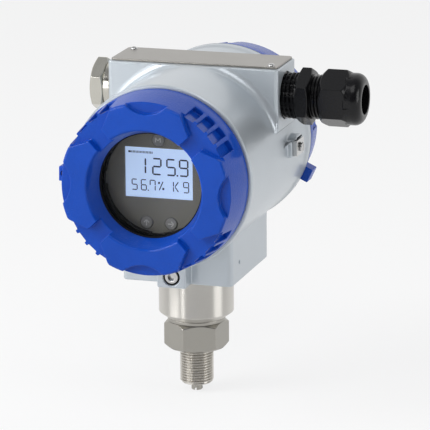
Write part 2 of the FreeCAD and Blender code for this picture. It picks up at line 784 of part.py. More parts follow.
def cover(name, turn, at, cover_turn, ear_turn, windowed):
    """Screwed cover: four wrench recesses with grip slots, lock ear, and a scalloped window rim."""
    spin_by = Rotation(Vector(0, 1, 0), -(45 + SIZES[cover_turn]))
    body = turned(name, "Y", cover_outline(windowed), at=at, turn=turn.multiply(spin_by))

    ear_angle = "%s - 45 - %s" % (ear_turn, cover_turn)
    ear = outline(body, name + "_ear_sketch", "XZ_Plane",
                  rectangle("cover_rad - ear_root", "ear_reach", "-ear_half", "ear_half"),
                  turn=ear_angle)
    pad(body, name + "_ear", ear, "ear_len")
    recess = outline(body, name + "_recess_sketch", "XZ_Plane", [
        ("notch_in", "-notch_half"), ("notch_out", "-notch_half"), ("flare_out", "-flare_half"),
        ("recess_out", "-recess_out_half"), ("recess_out", "recess_out_half"),
        ("flare_out", "flare_half"), ("notch_out", "notch_half"), ("notch_in", "notch_half")],
        lift="cover_tall")
    patterned = [pocket(body, name + "_recess", recess, "recess_deep")]
    for number, share in enumerate((-1.5, -0.5, 0.5, 1.5)):
        slot = outline(body, "%s_grip_sketch_%d" % (name, number), "XZ_Plane",
                       rectangle("grip_in", "recess_out", "-grip_half", "grip_half"),
                       lift="cover_tall - recess_deep", turn="%s * grip_step" % share)
        patterned.append(pocket(body, "%s_grip_%d" % (name, number), slot,
                                "cover_tall - recess_deep - grip_low"))
    if windowed:
        patterned.append(scallop(body, name + "_scallop"))

    pattern = body.newObject("PartDesign::PolarPattern", name + "_pattern")
    pattern.Originals = patterned
    pattern.Axis = (origin_piece(body, "Y_Axis"), [""])
    pattern.Angle = 360
    pattern.Occurrences = 4
    body.Tip = pattern
    return body


def lock_place(ear_turn):
    """Formulas of x and z for the set screw in a cover's ear."""
    angle = math.radians(SIZES[ear_turn])
    return ("setscrew_at * %.9f" % math.cos(angle),
            "barrel_z + setscrew_at * %.9f" % math.sin(angle))


def front_setscrew(name):
    """Set screw sunk in the front ear; returns the screw and the through hole that takes it."""
    x, z = lock_place("front_ear_turn")
    start = "-front_joint - setscrew_sink - setscrew_len"
    screw = rod(name + "_solid", "Y", (x, start, z), "setscrew_rad", "setscrew_len")
    socket = hexagon(name + "_socket", "Y", (x, start + " - run_out", z),
                     "setscrew_rad", "setscrew_socket + run_out")
    hole = rod(name + "_hole", "Y", (x, "-front_joint - ear_len - run_out", z),
               "setscrew_rad + setscrew_gap", "ear_len + 2 * run_out")
    return cut(name, screw, socket), hole


def rear_setscrew(name):
    """Set screw sunk in the rear ear; returns the screw and the blind hole that takes it."""
    x, z = lock_place("rear_ear_turn")
    start = "rear_joint + setscrew_sink"
    screw = rod(name + "_solid", "Y", (x, start, z), "setscrew_rad", "setscrew_len")
    socket = hexagon(name + "_socket", "Y", (x, start + " + setscrew_len - setscrew_socket", z),
                     "setscrew_rad", "setscrew_socket + run_out")
    hole = rod(name + "_hole", "Y", (x, "rear_joint + setscrew_skin", z),
               "setscrew_rad + setscrew_gap", "ear_len - setscrew_skin + run_out")
    return cut(name, screw, socket), hole


def covers():
    """Front cover with its window, blank rear cover, their O-rings and lock screws."""
    front_y = "-front_joint"
    rear_y = "rear_joint"
    screw, hole = front_setscrew("front_lock_screw")
    node("front_lock_screw", screw)
    raw = cover("front_cover_casting", Rotation(), ("0", front_y, "barrel_z"),
                "front_cover_turn", "front_ear_turn", True)
    node("front_cover", cut("front_cover", raw, hole))
    screw, hole = rear_setscrew("rear_lock_screw")
    node("rear_lock_screw", screw)
    raw = cover("rear_cover_casting", Rotation(Vector(0, 0, 1), 180), ("0", rear_y, "barrel_z"),
                "rear_cover_turn", "(180 - rear_ear_turn)", False)
    node("rear_cover", cut("rear_cover", raw, hole))
    node("front_cover_oring", ring("front_cover_oring", "Y",
                                   ("0", front_y + " + oring_at", "barrel_z"),
                                   "oring_mid", "oring_rad"))
    node("rear_cover_oring", ring("rear_cover_oring", "Y",
                                  ("0", rear_y + " - oring_at", "barrel_z"),
                                  "oring_mid", "oring_rad"))

    shoulder = "-front_joint - shoulder_out"
    node("window_gasket", turned("window_gasket", "Y", [
        ("0", "bore_rad - gasket_lip"), ("0", "glass_rad"), ("gasket_thick", "glass_rad"),
        ("gasket_thick", "bore_rad - gasket_lip")], at=("0", shoulder, "barrel_z")))
    back = "gasket_thick + glass_thick"
    node("front_window", turned("front_window", "Y", [
        ("gasket_thick", "0"), ("gasket_thick", "glass_rad - glass_bevel"),
        ("gasket_thick + glass_bevel", "glass_rad"), (back + " - glass_bevel", "glass_rad"),
        (back, "glass_rad - glass_bevel"), (back, "0")], at=("0", shoulder, "barrel_z")))
    washer = turned("retainer_turned", "Y", [
        (back, "bore_rad"), (back, "glass_rad"), (back + " + retainer_thick", "glass_rad"),
        (back + " + retainer_thick", "bore_rad")], at=("0", shoulder, "barrel_z"))
    slot_y = shoulder + " + %s + retainer_thick - retainer_slot_tall" % back
    reach = "bore_rad + retainer_slot_deep"
    slots = [block("retainer_slot_x", ("-(%s)" % reach, slot_y,
                                       "barrel_z - retainer_slot_half"),
                   "2 * (%s)" % reach, "retainer_slot_tall + run_out", "2 * retainer_slot_half"),
             block("retainer_slot_z", ("-retainer_slot_half", slot_y, "barrel_z - (%s)" % reach),
                   "2 * retainer_slot_half", "retainer_slot_tall + run_out", "2 * (%s)" % reach)]
    node("window_retainer", cut("window_retainer", washer, *slots))


# ---------------------------------------------------------------------------------------------
# Display module in the front compartment
# ---------------------------------------------------------------------------------------------
KEYS = {"key_left": ("-key_side", "barrel_z - key_low"),
        "key_right": ("key_side", "barrel_z - key_low"),
        "key_menu": ("0", "barrel_z + " + KEY_HIGH)}


def spots(radius, angles):
    """Formulas of x and z for points on a circle about the barrel axis."""
    return [("(%s) * %.9f" % (radius, math.cos(math.radians(a))),
             "barrel_z + (%s) * %.9f" % (radius, math.sin(math.radians(a)))) for a in angles]


def display_module():
    """Front panel, LCD, keys, boards, posts and the carrier that holds them."""
    lcd_low = "barrel_z + lcd_up - lcd_view_tall / 2"
    disc = rod("panel_disc", "Y", ("0", "-panel_front", "barrel_z"), "panel_rad", "panel_thick")
    skirt = turned("panel_skirt", "Y", [
        ("-panel_front + panel_thick / 2", "panel_rad - panel_wall"),
        ("-panel_front + panel_thick / 2", "panel_rad"),
        ("-panel_front + panel_skirt", "panel_rad"),
        ("-panel_front + panel_skirt", "panel_rad - panel_wall")], at=("0", "0", "barrel_z"))
    view = block("panel_window", ("-lcd_view_half", "-panel_front - run_out", lcd_low),
                 "2 * lcd_view_half", "panel_thick + 2 * run_out", "lcd_view_tall")
    key_holes = [rod(name + "_hole", "Y", (x, "-panel_front - run_out", z), "key_rad + key_gap",
                     "panel_thick + 2 * run_out") for name, (x, z) in KEYS.items()]
    node("display_panel", cut("display_panel", fuse("panel_solid", disc, skirt), view, *key_holes))

    lcd_y = "-panel_front + panel_thick + seat_gap"
    node("lcd_module", block("lcd_module", ("-lcd_view_half - lcd_border", lcd_y,
                                            lcd_low + " - lcd_border"),
                             "2 * (lcd_view_half + lcd_border)", "lcd_thick",
                             "lcd_view_tall + lcd_border + lcd_top_border"))
    flange = "key_proud + panel_thick + seat_gap"
    for name, (x, z) in KEYS.items():
        cap = turned(name, "Y", [
            ("0", "0"), ("0", "key_rad - key_bevel"), ("key_bevel", "key_rad"),
            (flange, "key_rad"), (flange, "key_rad + 2 * key_gap"),
            (flange + " + key_flange", "key_rad + 2 * key_gap"),
            (flange + " + key_flange", "key_plunger_rad"),
            ("key_tall", "key_plunger_rad"), ("key_tall", "0")],
            at=(x, "-panel_front - key_proud", z))
        node(name, cap)
    board_front = "-panel_front + panel_skirt + seat_gap"
    node("display_board", rod("display_board", "Y", ("0", board_front, "barrel_z"),
                              "panel_rad - board_edge", "board_thick"))
    node("key_switches", fuse("key_switches", *[
        block("switch_" + name, (x + " - switch_side / 2", board_front + " - seat_gap - switch_tall",
                                 z + " - switch_side / 2"),
              "switch_side", "switch_tall", "switch_side") for name, (x, z) in KEYS.items()]))

    node("display_carrier", turned("display_carrier", "Y", [
        ("-main_board_front - seat_gap", "carrier_rad - carrier_wall"),
        ("-main_board_front - seat_gap", "carrier_rad"),
        ("-carrier_front + seat_gap", "carrier_rad"),
        ("-carrier_front + seat_gap", "panel_rad - carrier_lip"),
        ("-carrier_front + carrier_wall", "panel_rad - carrier_lip"),
        ("-carrier_front + carrier_wall", "carrier_rad - carrier_wall")],
        at=("0", "0", "barrel_z")))

    node("main_board", rod("main_board", "Y", ("0", "-main_board_front", "barrel_z"),
                           "main_board_rad", "board_thick"))
    post_spots = spots("post_at", (90, 210, 330))
    node("board_posts", fuse("board_posts", *[
        rod("post_%d" % k, "Y", (x, "-main_board_front + board_thick + seat_gap", z), "post_rad",
            "main_board_front - board_thick - wall_front - 2 * seat_gap")
        for k, (x, z) in enumerate(post_spots)]))
    node("board_screws", fuse("board_screws", *[
        rod("board_screw_%d" % k, "Y", (x, "-main_board_front - screw_head_tall - seat_gap", z),
            "screw_head_rad", "screw_head_tall") for k, (x, z) in enumerate(post_spots)]))


# ---------------------------------------------------------------------------------------------
# Terminal compartment
# ---------------------------------------------------------------------------------------------
TERMINALS = 5


def terminals():
    """Terminal block with its clamps and screws, and the ground screw beside it."""
    low = "barrel_z + block_up - block_tall / 2"
    base = block("block_base", ("-block_half", "wall_rear + seat_gap", low),
                 "2 * block_half", "block_thick", "block_tall")
    ribs = [block("block_rib_%d" % k, (
        "%s * terminal_step - rib_thick / 2" % (k - TERMINALS / 2),
        "wall_rear + seat_gap + block_thick / 2", low),
        "rib_thick", "block_thick / 2 + rib_tall", "block_tall") for k in range(TERMINALS + 1)]
    node("terminal_block", fuse("terminal_block", base, *ribs))
    top = "wall_rear + 2 * seat_gap + block_thick"
    rows = ["%s * terminal_step" % (k - (TERMINALS - 1) / 2) for k in range(TERMINALS)]
    node("terminal_clamps", fuse("terminal_clamps", *[
        block("clamp_%d" % k, (x + " - clamp_side / 2", top, "barrel_z + block_up - clamp_side / 2"),
              "clamp_side", "clamp_thick", "clamp_side") for k, x in enumerate(rows)]))
    heads = []
    for k, x in enumerate(rows):
        head = rod("terminal_head_%d" % k, "Y", (x, top + " + clamp_thick + seat_gap",
                                                 "barrel_z + block_up"),
                   "terminal_rad", "terminal_tall")
        slot = block("terminal_slot_%d" % k, (
            x + " - terminal_rad - run_out",
            top + " + clamp_thick + seat_gap + terminal_tall - terminal_slot_deep",
            "barrel_z + block_up - terminal_slot / 2"),
            "2 * (terminal_rad + run_out)", "terminal_slot_deep + run_out", "terminal_slot")
        heads.append(cut("terminal_screw_%d" % k, head, slot))
    node("terminal_screws", fuse("terminal_screws", *heads))
    ground = rod("inner_ground_head", "Y", ("-inner_ground_x", "wall_rear + seat_gap",
                                            "barrel_z - inner_ground_down"),
                 "inner_washer_rad", "inner_washer_thick")
    ground_head = rod("inner_ground_pan", "Y", (
        "-inner_ground_x", "wall_rear + seat_gap + inner_washer_thick",
        "barrel_z - inner_ground_down"), "inner_head_rad", "inner_head_tall")
    node("inner_ground_screw", fuse("inner_ground_screw", ground, ground_head))


# ---------------------------------------------------------------------------------------------
# Nameplate, plug, gland and outer ground terminal
# ---------------------------------------------------------------------------------------------
def nameplate():
    """Thin plate on top of the conduit box, held by two drive rivets."""
    plate = block("plate_raw", ("-plate_half", "-plate_front", BOX_TOP + " + seat_gap"),
                  "2 * plate_half", "plate_front + plate_rear", "plate_thick")
    node("nameplate", soften("nameplate", plate, SIZES["plate_round"], upright))
    top = BOX_TOP + " + 2 * seat_gap + plate_thick"
    ends = (("-plate_half + rivet_in", "plate_rear - rivet_in"),
            ("plate_half - rivet_in", "-plate_front + rivet_in"))
    node("nameplate_rivets", fuse("nameplate_rivets", *[
        dome("rivet_%d" % k, (x, y, top), "rivet_rad", "rivet_tall")
        for k, (x, y) in enumerate(ends)]))


def blank_plug():
    """Hexagon plug in the conduit entry that isn't used."""
    at = ("-box_half", "conduit_y", CONDUIT_Z)
    mouth = "conduit_rad - conduit_taper * gland_out"
    stem = turned("plug_stem", "X", [
        ("-plug_collar_len", "0"), ("-plug_collar_len", "plug_collar_rad"),
        ("-seat_gap - edge_bevel", "plug_collar_rad"), ("-seat_gap", "plug_collar_rad - edge_bevel"),
        ("-seat_gap", mouth), ("conduit_deep", mouth + " - conduit_taper * conduit_deep"),
        ("conduit_deep", "0")], at=at)
    head = bevelled_hexagon("plug_head", "X", ("-box_half - plug_collar_len - plug_hex_len",
                                               "conduit_y", CONDUIT_Z), "plug_flats",
                            "plug_hex_len", SIZES["plug_turn"], "plug_bevel")
    node("blank_plug", fuse("blank_plug", stem, head))


def gland():
    """Cable gland: body with clamping fingers, rubber seal and cap nut with a rounded nose."""
    at = ("box_half", "conduit_y", CONDUIT_Z)
    hex_end = "gland_out + gland_hex_len"
    thread_start = hex_end + " + gland_collar_len"
    claw_start = thread_start + " + gland_thread_len"
    claw_end = claw_start + " + claw_len"
    taper_end = "conduit_rad - conduit_taper * (gland_out + conduit_deep)"
    stem = turned("gland_stem", "X", [
        ("-conduit_deep", "gland_bore_rad"), ("-conduit_deep", taper_end),
        ("gland_out", "conduit_rad"), (hex_end, "conduit_rad"),
        (hex_end, "gland_collar_rad"), (thread_start, "gland_collar_rad"),
        (thread_start, "gland_thread_rad"), (claw_start, "gland_thread_rad"),
        (claw_start, "claw_rad"), (claw_end + " - claw_bevel", "claw_rad"),
        (claw_end, "claw_tip_rad"), (claw_end, "gland_bore_rad")], at=at)
    flange = bevelled_hexagon("gland_flange", "X", ("box_half + gland_out", "conduit_y", CONDUIT_Z),
                              "gland_flats", "gland_hex_len", SIZES["gland_turn"], "gland_bevel",
                              "gland_bore_rad")
    slot_half = "(gland_collar_rad + run_out)"
    claws = [block("claw_slot_upright", ("box_half + " + claw_start, "conduit_y - claw_slot_half",
                                         CONDUIT_Z + " - " + slot_half),
                   "claw_len + run_out", "2 * claw_slot_half", "2 * " + slot_half),
             block("claw_slot_level", ("box_half + " + claw_start, "conduit_y - " + slot_half,
                                       CONDUIT_Z + " - claw_slot_half"),
                   "claw_len + run_out", "2 * " + slot_half, "2 * claw_slot_half")]
    node("gland_body", cut("gland_body", fuse("gland_solid", stem, flange), *claws))

    seal_start = thread_start + " + seal_in"
    node("gland_seal", turned("gland_seal", "X", [
        (seal_start, "seal_bore_rad"), (seal_start, "gland_bore_rad - nut_gap"),
        (seal_start + " + seal_len", "gland_bore_rad - nut_gap"),
        (seal_start + " + seal_len", "seal_bore_rad")], at=at))

    nut_start = thread_start + " + nut_stand"
    nut_end = nut_start + " + nut_len"
    inner_end = claw_end + " + claw_room"
    flats = bevelled_hexagon("nut_hex", "X", ("box_half + " + nut_start, "conduit_y", CONDUIT_Z),
                             "gland_flats", "nut_hex_len", SIZES["gland_turn"], "nut_bevel")
    barrel = rod("nut_barrel", "X", ("box_half + %s + nut_dome_start" % nut_start, "conduit_y",
                                     CONDUIT_Z), "nut_dome_rad", "nut_len - nut_dome_start")
    nose_x = SIZES["box_half"] + sum(SIZES[size] for size in (
        "gland_out", "gland_hex_len", "gland_collar_len", "nut_stand", "nut_len"))
    nose = soften("nut_nose", barrel, SIZES["nut_nose"],
                  lambda edge: isinstance(edge.Curve, Part.Circle)
                  and abs(edge.Curve.Center.x - nose_x) < SIZES["seat_gap"])
    bore = turned("nut_bore", "X", [
        (nut_start + " - run_out", "0"), (nut_start + " - run_out", "gland_thread_rad + nut_gap"),
        (inner_end, "gland_thread_rad + nut_gap"), (nut_end + " - nut_mouth_len", "nut_mouth_rad"),
        (nut_end + " + run_out", "nut_mouth_rad"), (nut_end + " + run_out", "0")], at=at)
    node("gland_nut", cut("gland_nut", fuse("nut_solid", flats, nose), bore))


def ground_terminal():
    """Clamp plate and slotted screw on the cast pad at the side of the barrel."""
    mid_z = "(pad_low + pad_high) / 2"
    plate = block("saddle_plate", (PAD_OUT + " + seat_gap", "saddle_y - saddle_half_y",
                                   mid_z + " - saddle_half_z"), "saddle_thick",
                  "2 * saddle_half_y", "2 * saddle_half_z")
    node("ground_saddle", soften("ground_saddle", plate, SIZES["saddle_bevel"],
                                 lambda edge: abs(edge.tangentAt(edge.FirstParameter).x) > 0.99))
    face = PAD_OUT + " + 2 * seat_gap + saddle_thick"
    head = rod("ground_head", "X", (face, "saddle_y", mid_z), "ground_head_rad", "ground_head_tall")
    slot = block("ground_slot_cut", (
        face + " + ground_head_tall - ground_slot_deep", "saddle_y - ground_slot / 2",
        mid_z + " - ground_head_rad - run_out"),
        "ground_slot_deep + run_out", "ground_slot", "2 * (ground_head_rad + run_out)")
    node("ground_screw", cut("ground_screw", head, slot))


# ---------------------------------------------------------------------------------------------
# Build, check and write
# ---------------------------------------------------------------------------------------------
def check_document():
    """Stop if any object failed to compute."""
    for thing in DOC.Objects:
        if "Invalid" in thing.State or "Error" in thing.State:
            raise RuntimeError("%s failed: %s" % (thing.Name, thing.State))
    for name, thing in NODES.items():
        if thing.Shape.isNull() or not thing.Shape.isValid() or not thing.Shape.Solids:
            raise RuntimeError("no valid solid for " + name)


def write_parts():
    """Write each piece as parts/NAME.step."""
    os.makedirs("parts", exist_ok=True)
    for name, thing in NODES.items():
        thing.Shape.exportStep("parts/%s.step" % name)
        box = thing.Shape.BoundBox
        print("%-20s solids %d  volume %10.1f  x %.1f..%.1f  y %.1f..%.1f  z %.1f..%.1f" % (
            name, len(thing.Shape.Solids), thing.Shape.Volume, box.XMin, box.XMax,
            box.YMin, box.YMax, box.ZMin, box.ZMax))


sensor_module()
housing()
lock_screw()
covers()
display_module()
terminals()
nameplate()
blank_plug()
gland()
ground_terminal()
DOC.recompute()
check_document()
write_parts()
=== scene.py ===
"""Studio scene of a field pressure transmitter.

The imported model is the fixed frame.  Cast, turned and moulded pieces are copied from it, get their
rounded edges, threads and marks here, and every surface is dressed with a procedural finish.
Lengths in this file are millimetres unless a name or a docstring says otherwise.
"""

import json
import logging
import math
from dataclasses import dataclass, field
from enum import Enum
from typing import Any, Callable, Mapping, Optional, Sequence, Union

import bmesh
import bpy
from mathutils import Matrix, Vector
from mathutils.bvhtree import BVHTree


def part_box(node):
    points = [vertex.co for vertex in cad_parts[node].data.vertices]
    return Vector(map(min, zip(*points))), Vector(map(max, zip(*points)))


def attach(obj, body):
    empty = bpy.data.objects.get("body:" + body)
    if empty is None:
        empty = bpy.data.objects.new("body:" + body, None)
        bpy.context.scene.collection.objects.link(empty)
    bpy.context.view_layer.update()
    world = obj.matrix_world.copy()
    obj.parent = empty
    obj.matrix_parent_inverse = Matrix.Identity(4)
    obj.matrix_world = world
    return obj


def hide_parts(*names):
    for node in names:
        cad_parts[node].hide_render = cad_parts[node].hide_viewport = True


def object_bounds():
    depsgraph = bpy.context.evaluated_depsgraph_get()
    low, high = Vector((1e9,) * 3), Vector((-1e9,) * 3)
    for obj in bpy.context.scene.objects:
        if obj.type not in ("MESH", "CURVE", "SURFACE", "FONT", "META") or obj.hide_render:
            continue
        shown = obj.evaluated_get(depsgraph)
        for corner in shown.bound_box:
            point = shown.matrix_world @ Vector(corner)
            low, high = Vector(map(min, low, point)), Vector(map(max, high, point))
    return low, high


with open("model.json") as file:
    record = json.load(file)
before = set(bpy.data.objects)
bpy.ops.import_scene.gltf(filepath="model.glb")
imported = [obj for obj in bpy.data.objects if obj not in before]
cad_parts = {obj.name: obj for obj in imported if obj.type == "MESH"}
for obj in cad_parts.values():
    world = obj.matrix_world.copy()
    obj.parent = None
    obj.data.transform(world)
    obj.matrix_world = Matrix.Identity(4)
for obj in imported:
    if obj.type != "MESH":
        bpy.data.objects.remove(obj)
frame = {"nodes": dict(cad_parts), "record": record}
CAD_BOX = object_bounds()

LOG = logging.getLogger("transmitter")
MM = 0.001
SAME = 0.001  # corners nearer to each other than this, in millimetres, are one
NODES: Mapping[str, bpy.types.Object] = frame["nodes"]
SLOTS: dict[str, str] = {part["node"]: part["material_slot"] for part in frame["record"]["subparts"]}

Triple = tuple[float, float, float]
Colour = Triple
Pair = tuple[float, float]


# ---------------------------------------------------------------------------------------------
# Shader tools
# ---------------------------------------------------------------------------------------------
class Wire:
    """A number in a shader graph; arithmetic on it adds Math nodes."""

    def __init__(self, graph: "Graph", socket: bpy.types.NodeSocket) -> None:
        """Wrap a socket.

        Args:
            graph: the graph that the socket belongs to.
            socket: an output socket.
        """
        self.graph = graph
        self.socket = socket

    def _maths(self, operation: str, *values: Union["Wire", float]) -> "Wire":
        """One Math node.

        Args:
            operation: the node's operation.
            values: its inputs in order.

        Returns:
            The node's result.
        """
        return self.graph.node("ShaderNodeMath", {"operation": operation}, dict(enumerate(values)))

    def __add__(self, other: Union["Wire", float]) -> "Wire":
        """Sum."""
        return self._maths("ADD", self, other)

    __radd__ = __add__

    def __sub__(self, other: Union["Wire", float]) -> "Wire":
        """Difference."""
        return self._maths("SUBTRACT", self, other)

    def __rsub__(self, other: float) -> "Wire":
        """Difference with this value taken away."""
        return self._maths("SUBTRACT", other, self)

    def __mul__(self, other: Union["Wire", float]) -> "Wire":
        """Product."""
        return self._maths("MULTIPLY", self, other)

    __rmul__ = __mul__

    def __pow__(self, power: float) -> "Wire":
        """Power."""
        return self._maths("POWER", self, power)

    def step(self, low: float, high: float) -> "Wire":
        """Smooth rise from 0 to 1.

        Args:
            low: the value at which the rise starts.
            high: the value at which it ends.

        Returns:
            The risen value.
        """
        settings = {"interpolation_type": "SMOOTHSTEP"}
        return self.graph.node("ShaderNodeMapRange", settings,
                               {"Value": self, "From Min": low, "From Max": high}, "Result")


class Graph:
    """The node tree of one material or of the world, with its Principled surface."""

    def __init__(self, owner: Union[bpy.types.Material, bpy.types.World]) -> None:
        """Start an empty tree.

        Args:
            owner: the material or world that holds the tree.
        """
        owner.use_nodes = True
        self.tree = owner.node_tree
        self.tree.nodes.clear()

    def node(self, kind: str, settings: Optional[Mapping[str, Any]] = None,
             sockets: Optional[Mapping[Any, Any]] = None, output: Union[str, int] = 0) -> Wire:
        """Add any node.

        Args:
            kind: the node's type.
            settings: its properties, set first.
            sockets: values or wires for its inputs, by name or number.
            output: the output to return.

        Returns:
            That output.
        """
        made = self.tree.nodes.new(kind)
        for name, value in (settings or {}).items():
            setattr(made, name, value)
        for name, value in (sockets or {}).items():
            if isinstance(value, Wire):
                self.tree.links.new(value.socket, made.inputs[name])
            else:
                made.inputs[name].default_value = value
        return Wire(self, made.outputs[output] if made.outputs else made.inputs[0])

    def place(self, scale: Sequence[float]) -> Wire:
        """Object coordinates in millimetres, stretched.

        Args:
            scale: repeats for each millimetre along the three axes.

        Returns:
            The coordinates.
        """
        where = self.node("ShaderNodeTexCoord", output="Object")
        return self.node("ShaderNodeMapping", {"vector_type": "POINT"},
                         {"Vector": where, "Scale": [repeats / MM for repeats in scale]})

    def noise(self, where: Wire, scale: float = 1.0, detail: float = 2.0,
              roughness: float = 0.5) -> Wire:
        """Smooth noise from 0 to 1.

        Args:
            where: the coordinates.
            scale: the number of repeats for each unit of them.
            detail: octaves.
            roughness: the share of the finer octaves.

        Returns:
            The noise.
        """
        return self.node("ShaderNodeTexNoise", {"noise_dimensions": "3D"}, {
            "Vector": where, "Scale": scale, "Detail": detail, "Roughness": roughness}, "Fac")

    def blend(self, first: Colour, second: Colour, share: Wire) -> Wire:
        """Mix of two colours.

        Args:
            first: the colour where share is 0.
            second: the colour where share is 1.
            share: the share of the second.

        Returns:
            The mixed colour.
        """
        return self.node("ShaderNodeMix", {"data_type": "RGBA"}, {
            0: share, 6: (*first, 1.0), 7: (*second, 1.0)}, 2)

    def bump(self, height: Wire, depth: float, under: Optional[Wire] = None) -> Wire:
        """Surface normal bent by a height.

        Args:
            height: the height, from 0 to 1.
            depth: what 1 stands for, in millimetres.
            under: a normal that is already bent.

        Returns:
            The new normal.
        """
        sockets: dict[Any, Any] = {"Height": height, "Distance": depth * MM, "Strength": 1.0}
        if under is not None:
            sockets["Normal"] = under
        return self.node("ShaderNodeBump", None, sockets, "Normal")

    def surface(self, **sockets: Any) -> None:
        """The Principled surface.

        Args:
            sockets: its inputs, with spaces written as underscores.
        """
        shader = self.node("ShaderNodeBsdfPrincipled", None,
                           {name.replace("_", " "): value for name, value in sockets.items()})
        self.node("ShaderNodeOutputMaterial", None, {"Surface": shader})


# ---------------------------------------------------------------------------------------------
# Finishes
# ---------------------------------------------------------------------------------------------
@dataclass(frozen=True)
class Finish:
    """One finish of the object; each kind draws its own surface."""

    name: str
    colour: Colour
    roughness: float

    def draw(self, graph: Graph) -> None:
        """Draw the surface on a graph; each kind of finish has its own way."""
        raise NotImplementedError

    def material(self) -> bpy.types.Material:
        """The finish as a material, made once.

        Returns:
            The material.
        """
        name = self.name + "_finish"
        found = bpy.data.materials.get(name)
        if found is None:
            found = bpy.data.materials.new(name)
            self.draw(Graph(found))
        return found

    def dress(self, thing: bpy.types.Object) -> None:
        """Put the finish on every slot of an object.

        Args:
            thing: the object.
        """
        slots = thing.data.materials
        if not slots:
            slots.append(self.material())
        for number in range(len(slots)):
            slots[number] = self.material()


@dataclass(frozen=True)
class CastPaint(Finish):
    """Paint over a die casting: orange peel, faint pits and a slow change of tone."""

    metallic: float = 0.0
    specular: float = 0.3
    coat: float = 0.5
    coat_roughness: float = 0.08
    peel: float = 0.012
    pits: float = 0.03
    drift: float = 0.06

    def draw(self, graph: Graph) -> None:
        """Draw the paint.

        Args:
            graph: the material's graph.
        """
        slow = graph.noise(graph.place((0.035,) * 3), 1.0, 2.0)
        fine = graph.noise(graph.place((1.0,) * 3), 0.9, 3.0, 0.6)
        speck = graph.noise(graph.place((1.0,) * 3), 2.6, 2.0, 0.5).step(0.66, 0.78)
        shade = tuple((1 - 2 * self.drift) * part for part in self.colour)
        light = tuple(min(1.0, (1 + self.drift) * part) for part in self.colour)
        peel = graph.bump(fine, self.peel)
        graph.surface(Base_Color=graph.blend(shade, light, slow),
                      Metallic=self.metallic, Specular_IOR_Level=self.specular,
                      Roughness=self.roughness + 0.10 * (fine - 0.5) + 0.05 * slow,
                      Coat_Weight=self.coat, Coat_Roughness=self.coat_roughness,
                      Normal=graph.bump(1 - speck, self.pits, peel))


class Axis(Enum):
    """Axis of a turned piece, with the shares of a length that its tool marks repeat over."""

    X = (1.0, 0.02, 0.02)
    Y = (0.02, 1.0, 0.02)
    Z = (0.02, 0.02, 1.0)


@dataclass(frozen=True)
class TurnedMetal(Finish):
    """Metal from a lathe: fine rings about an axis, with a slight change of gloss."""

    axis: Axis = Axis.Z
    pitch: float = 0.16
    depth: float = 0.006
    streak: float = 0.0

    def draw(self, graph: Graph) -> None:
        """Draw the turned metal.

        Args:
            graph: the material's graph.
        """
        rings = graph.noise(graph.place(self.axis.value), 1 / self.pitch, 2.0, 0.7)
        cloud = graph.noise(graph.place((0.12,) * 3), 1.0, 3.0)
        dark = tuple(0.80 * part for part in self.colour)
        graph.surface(Base_Color=graph.blend(dark, self.colour, 0.5 * rings + 0.5 * cloud),
                      Metallic=1.0, Anisotropic=self.streak, Anisotropic_Rotation=0.25,
                      Roughness=self.roughness + 0.10 * (cloud - 0.5) + 0.10 * (rings - 0.5),
                      Normal=graph.bump(rings, self.depth))


@dataclass(frozen=True)
class BrushedSheet(Finish):
    """Brushed metal sheet or bar: long scratches along one axis."""

    scratches: Triple = (0.05, 6.0, 6.0)
    depth: float = 0.003

    def draw(self, graph: Graph) -> None:
        """Draw the brushed metal.

        Args:
            graph: the material's graph.
        """
        grain = graph.noise(graph.place(self.scratches), 1.0, 4.0, 0.65)
        cloud = graph.noise(graph.place((0.1,) * 3), 1.0, 3.0)
        dark = tuple(0.82 * part for part in self.colour)
        graph.surface(Base_Color=graph.blend(dark, self.colour, 0.6 * grain + 0.4 * cloud),
                      Metallic=1.0,
                      Roughness=self.roughness + 0.14 * (grain - 0.5) + 0.08 * (cloud - 0.5),
                      Normal=graph.bump(grain, self.depth))


@dataclass(frozen=True)
class Moulded(Finish):
    """Moulded plastic or rubber: a fine etched grain over a satin surface."""

    grain: float = 0.010
    grain_scale: float = 3.0
    coat: float = 0.0
    glow: float = 0.0
    specular: float = 0.5

    def draw(self, graph: Graph) -> None:
        """Draw the moulded surface.

        Args:
            graph: the material's graph.
        """
        fine = graph.noise(graph.place((1.0,) * 3), self.grain_scale, 3.0, 0.6)
        slow = graph.noise(graph.place((0.07,) * 3), 1.0, 2.0)
        dark = tuple(0.84 * part for part in self.colour)
        tone = graph.blend(dark, self.colour, 0.5 * slow + 0.5 * fine)
        graph.surface(Base_Color=tone, Roughness=self.roughness + 0.12 * (fine - 0.5),
                      Specular_IOR_Level=self.specular, Coat_Weight=self.coat,
                      Coat_Roughness=0.12,
                      Emission_Color=tone, Emission_Strength=self.glow,
                      Normal=graph.bump(fine, self.grain))


@dataclass(frozen=True)
class PrintedBoard(Finish):
    """Solder mask over copper tracks, with a fine weave beneath."""

    copper: Colour = (0.10, 0.33, 0.16)

    def draw(self, graph: Graph) -> None:
        """Draw the circuit board.

        Args:
            graph: the material's graph.
        """
        where = graph.place((0.35, 0.35, 0.35))
        cells = graph.node("ShaderNodeTexVoronoi", {"feature": "DISTANCE_TO_EDGE"},
                           {"Vector": where, "Scale": 1.0}, "Distance")
        track = 1 - cells.step(0.03, 0.07)
        weave = graph.noise(graph.place((1.0,) * 3), 2.0, 2.0)
        graph.surface(Base_Color=graph.blend(self.colour, self.copper, track),
                      Roughness=self.roughness + 0.1 * weave, Coat_Weight=0.4,
                      Normal=graph.bump(track, 0.03))


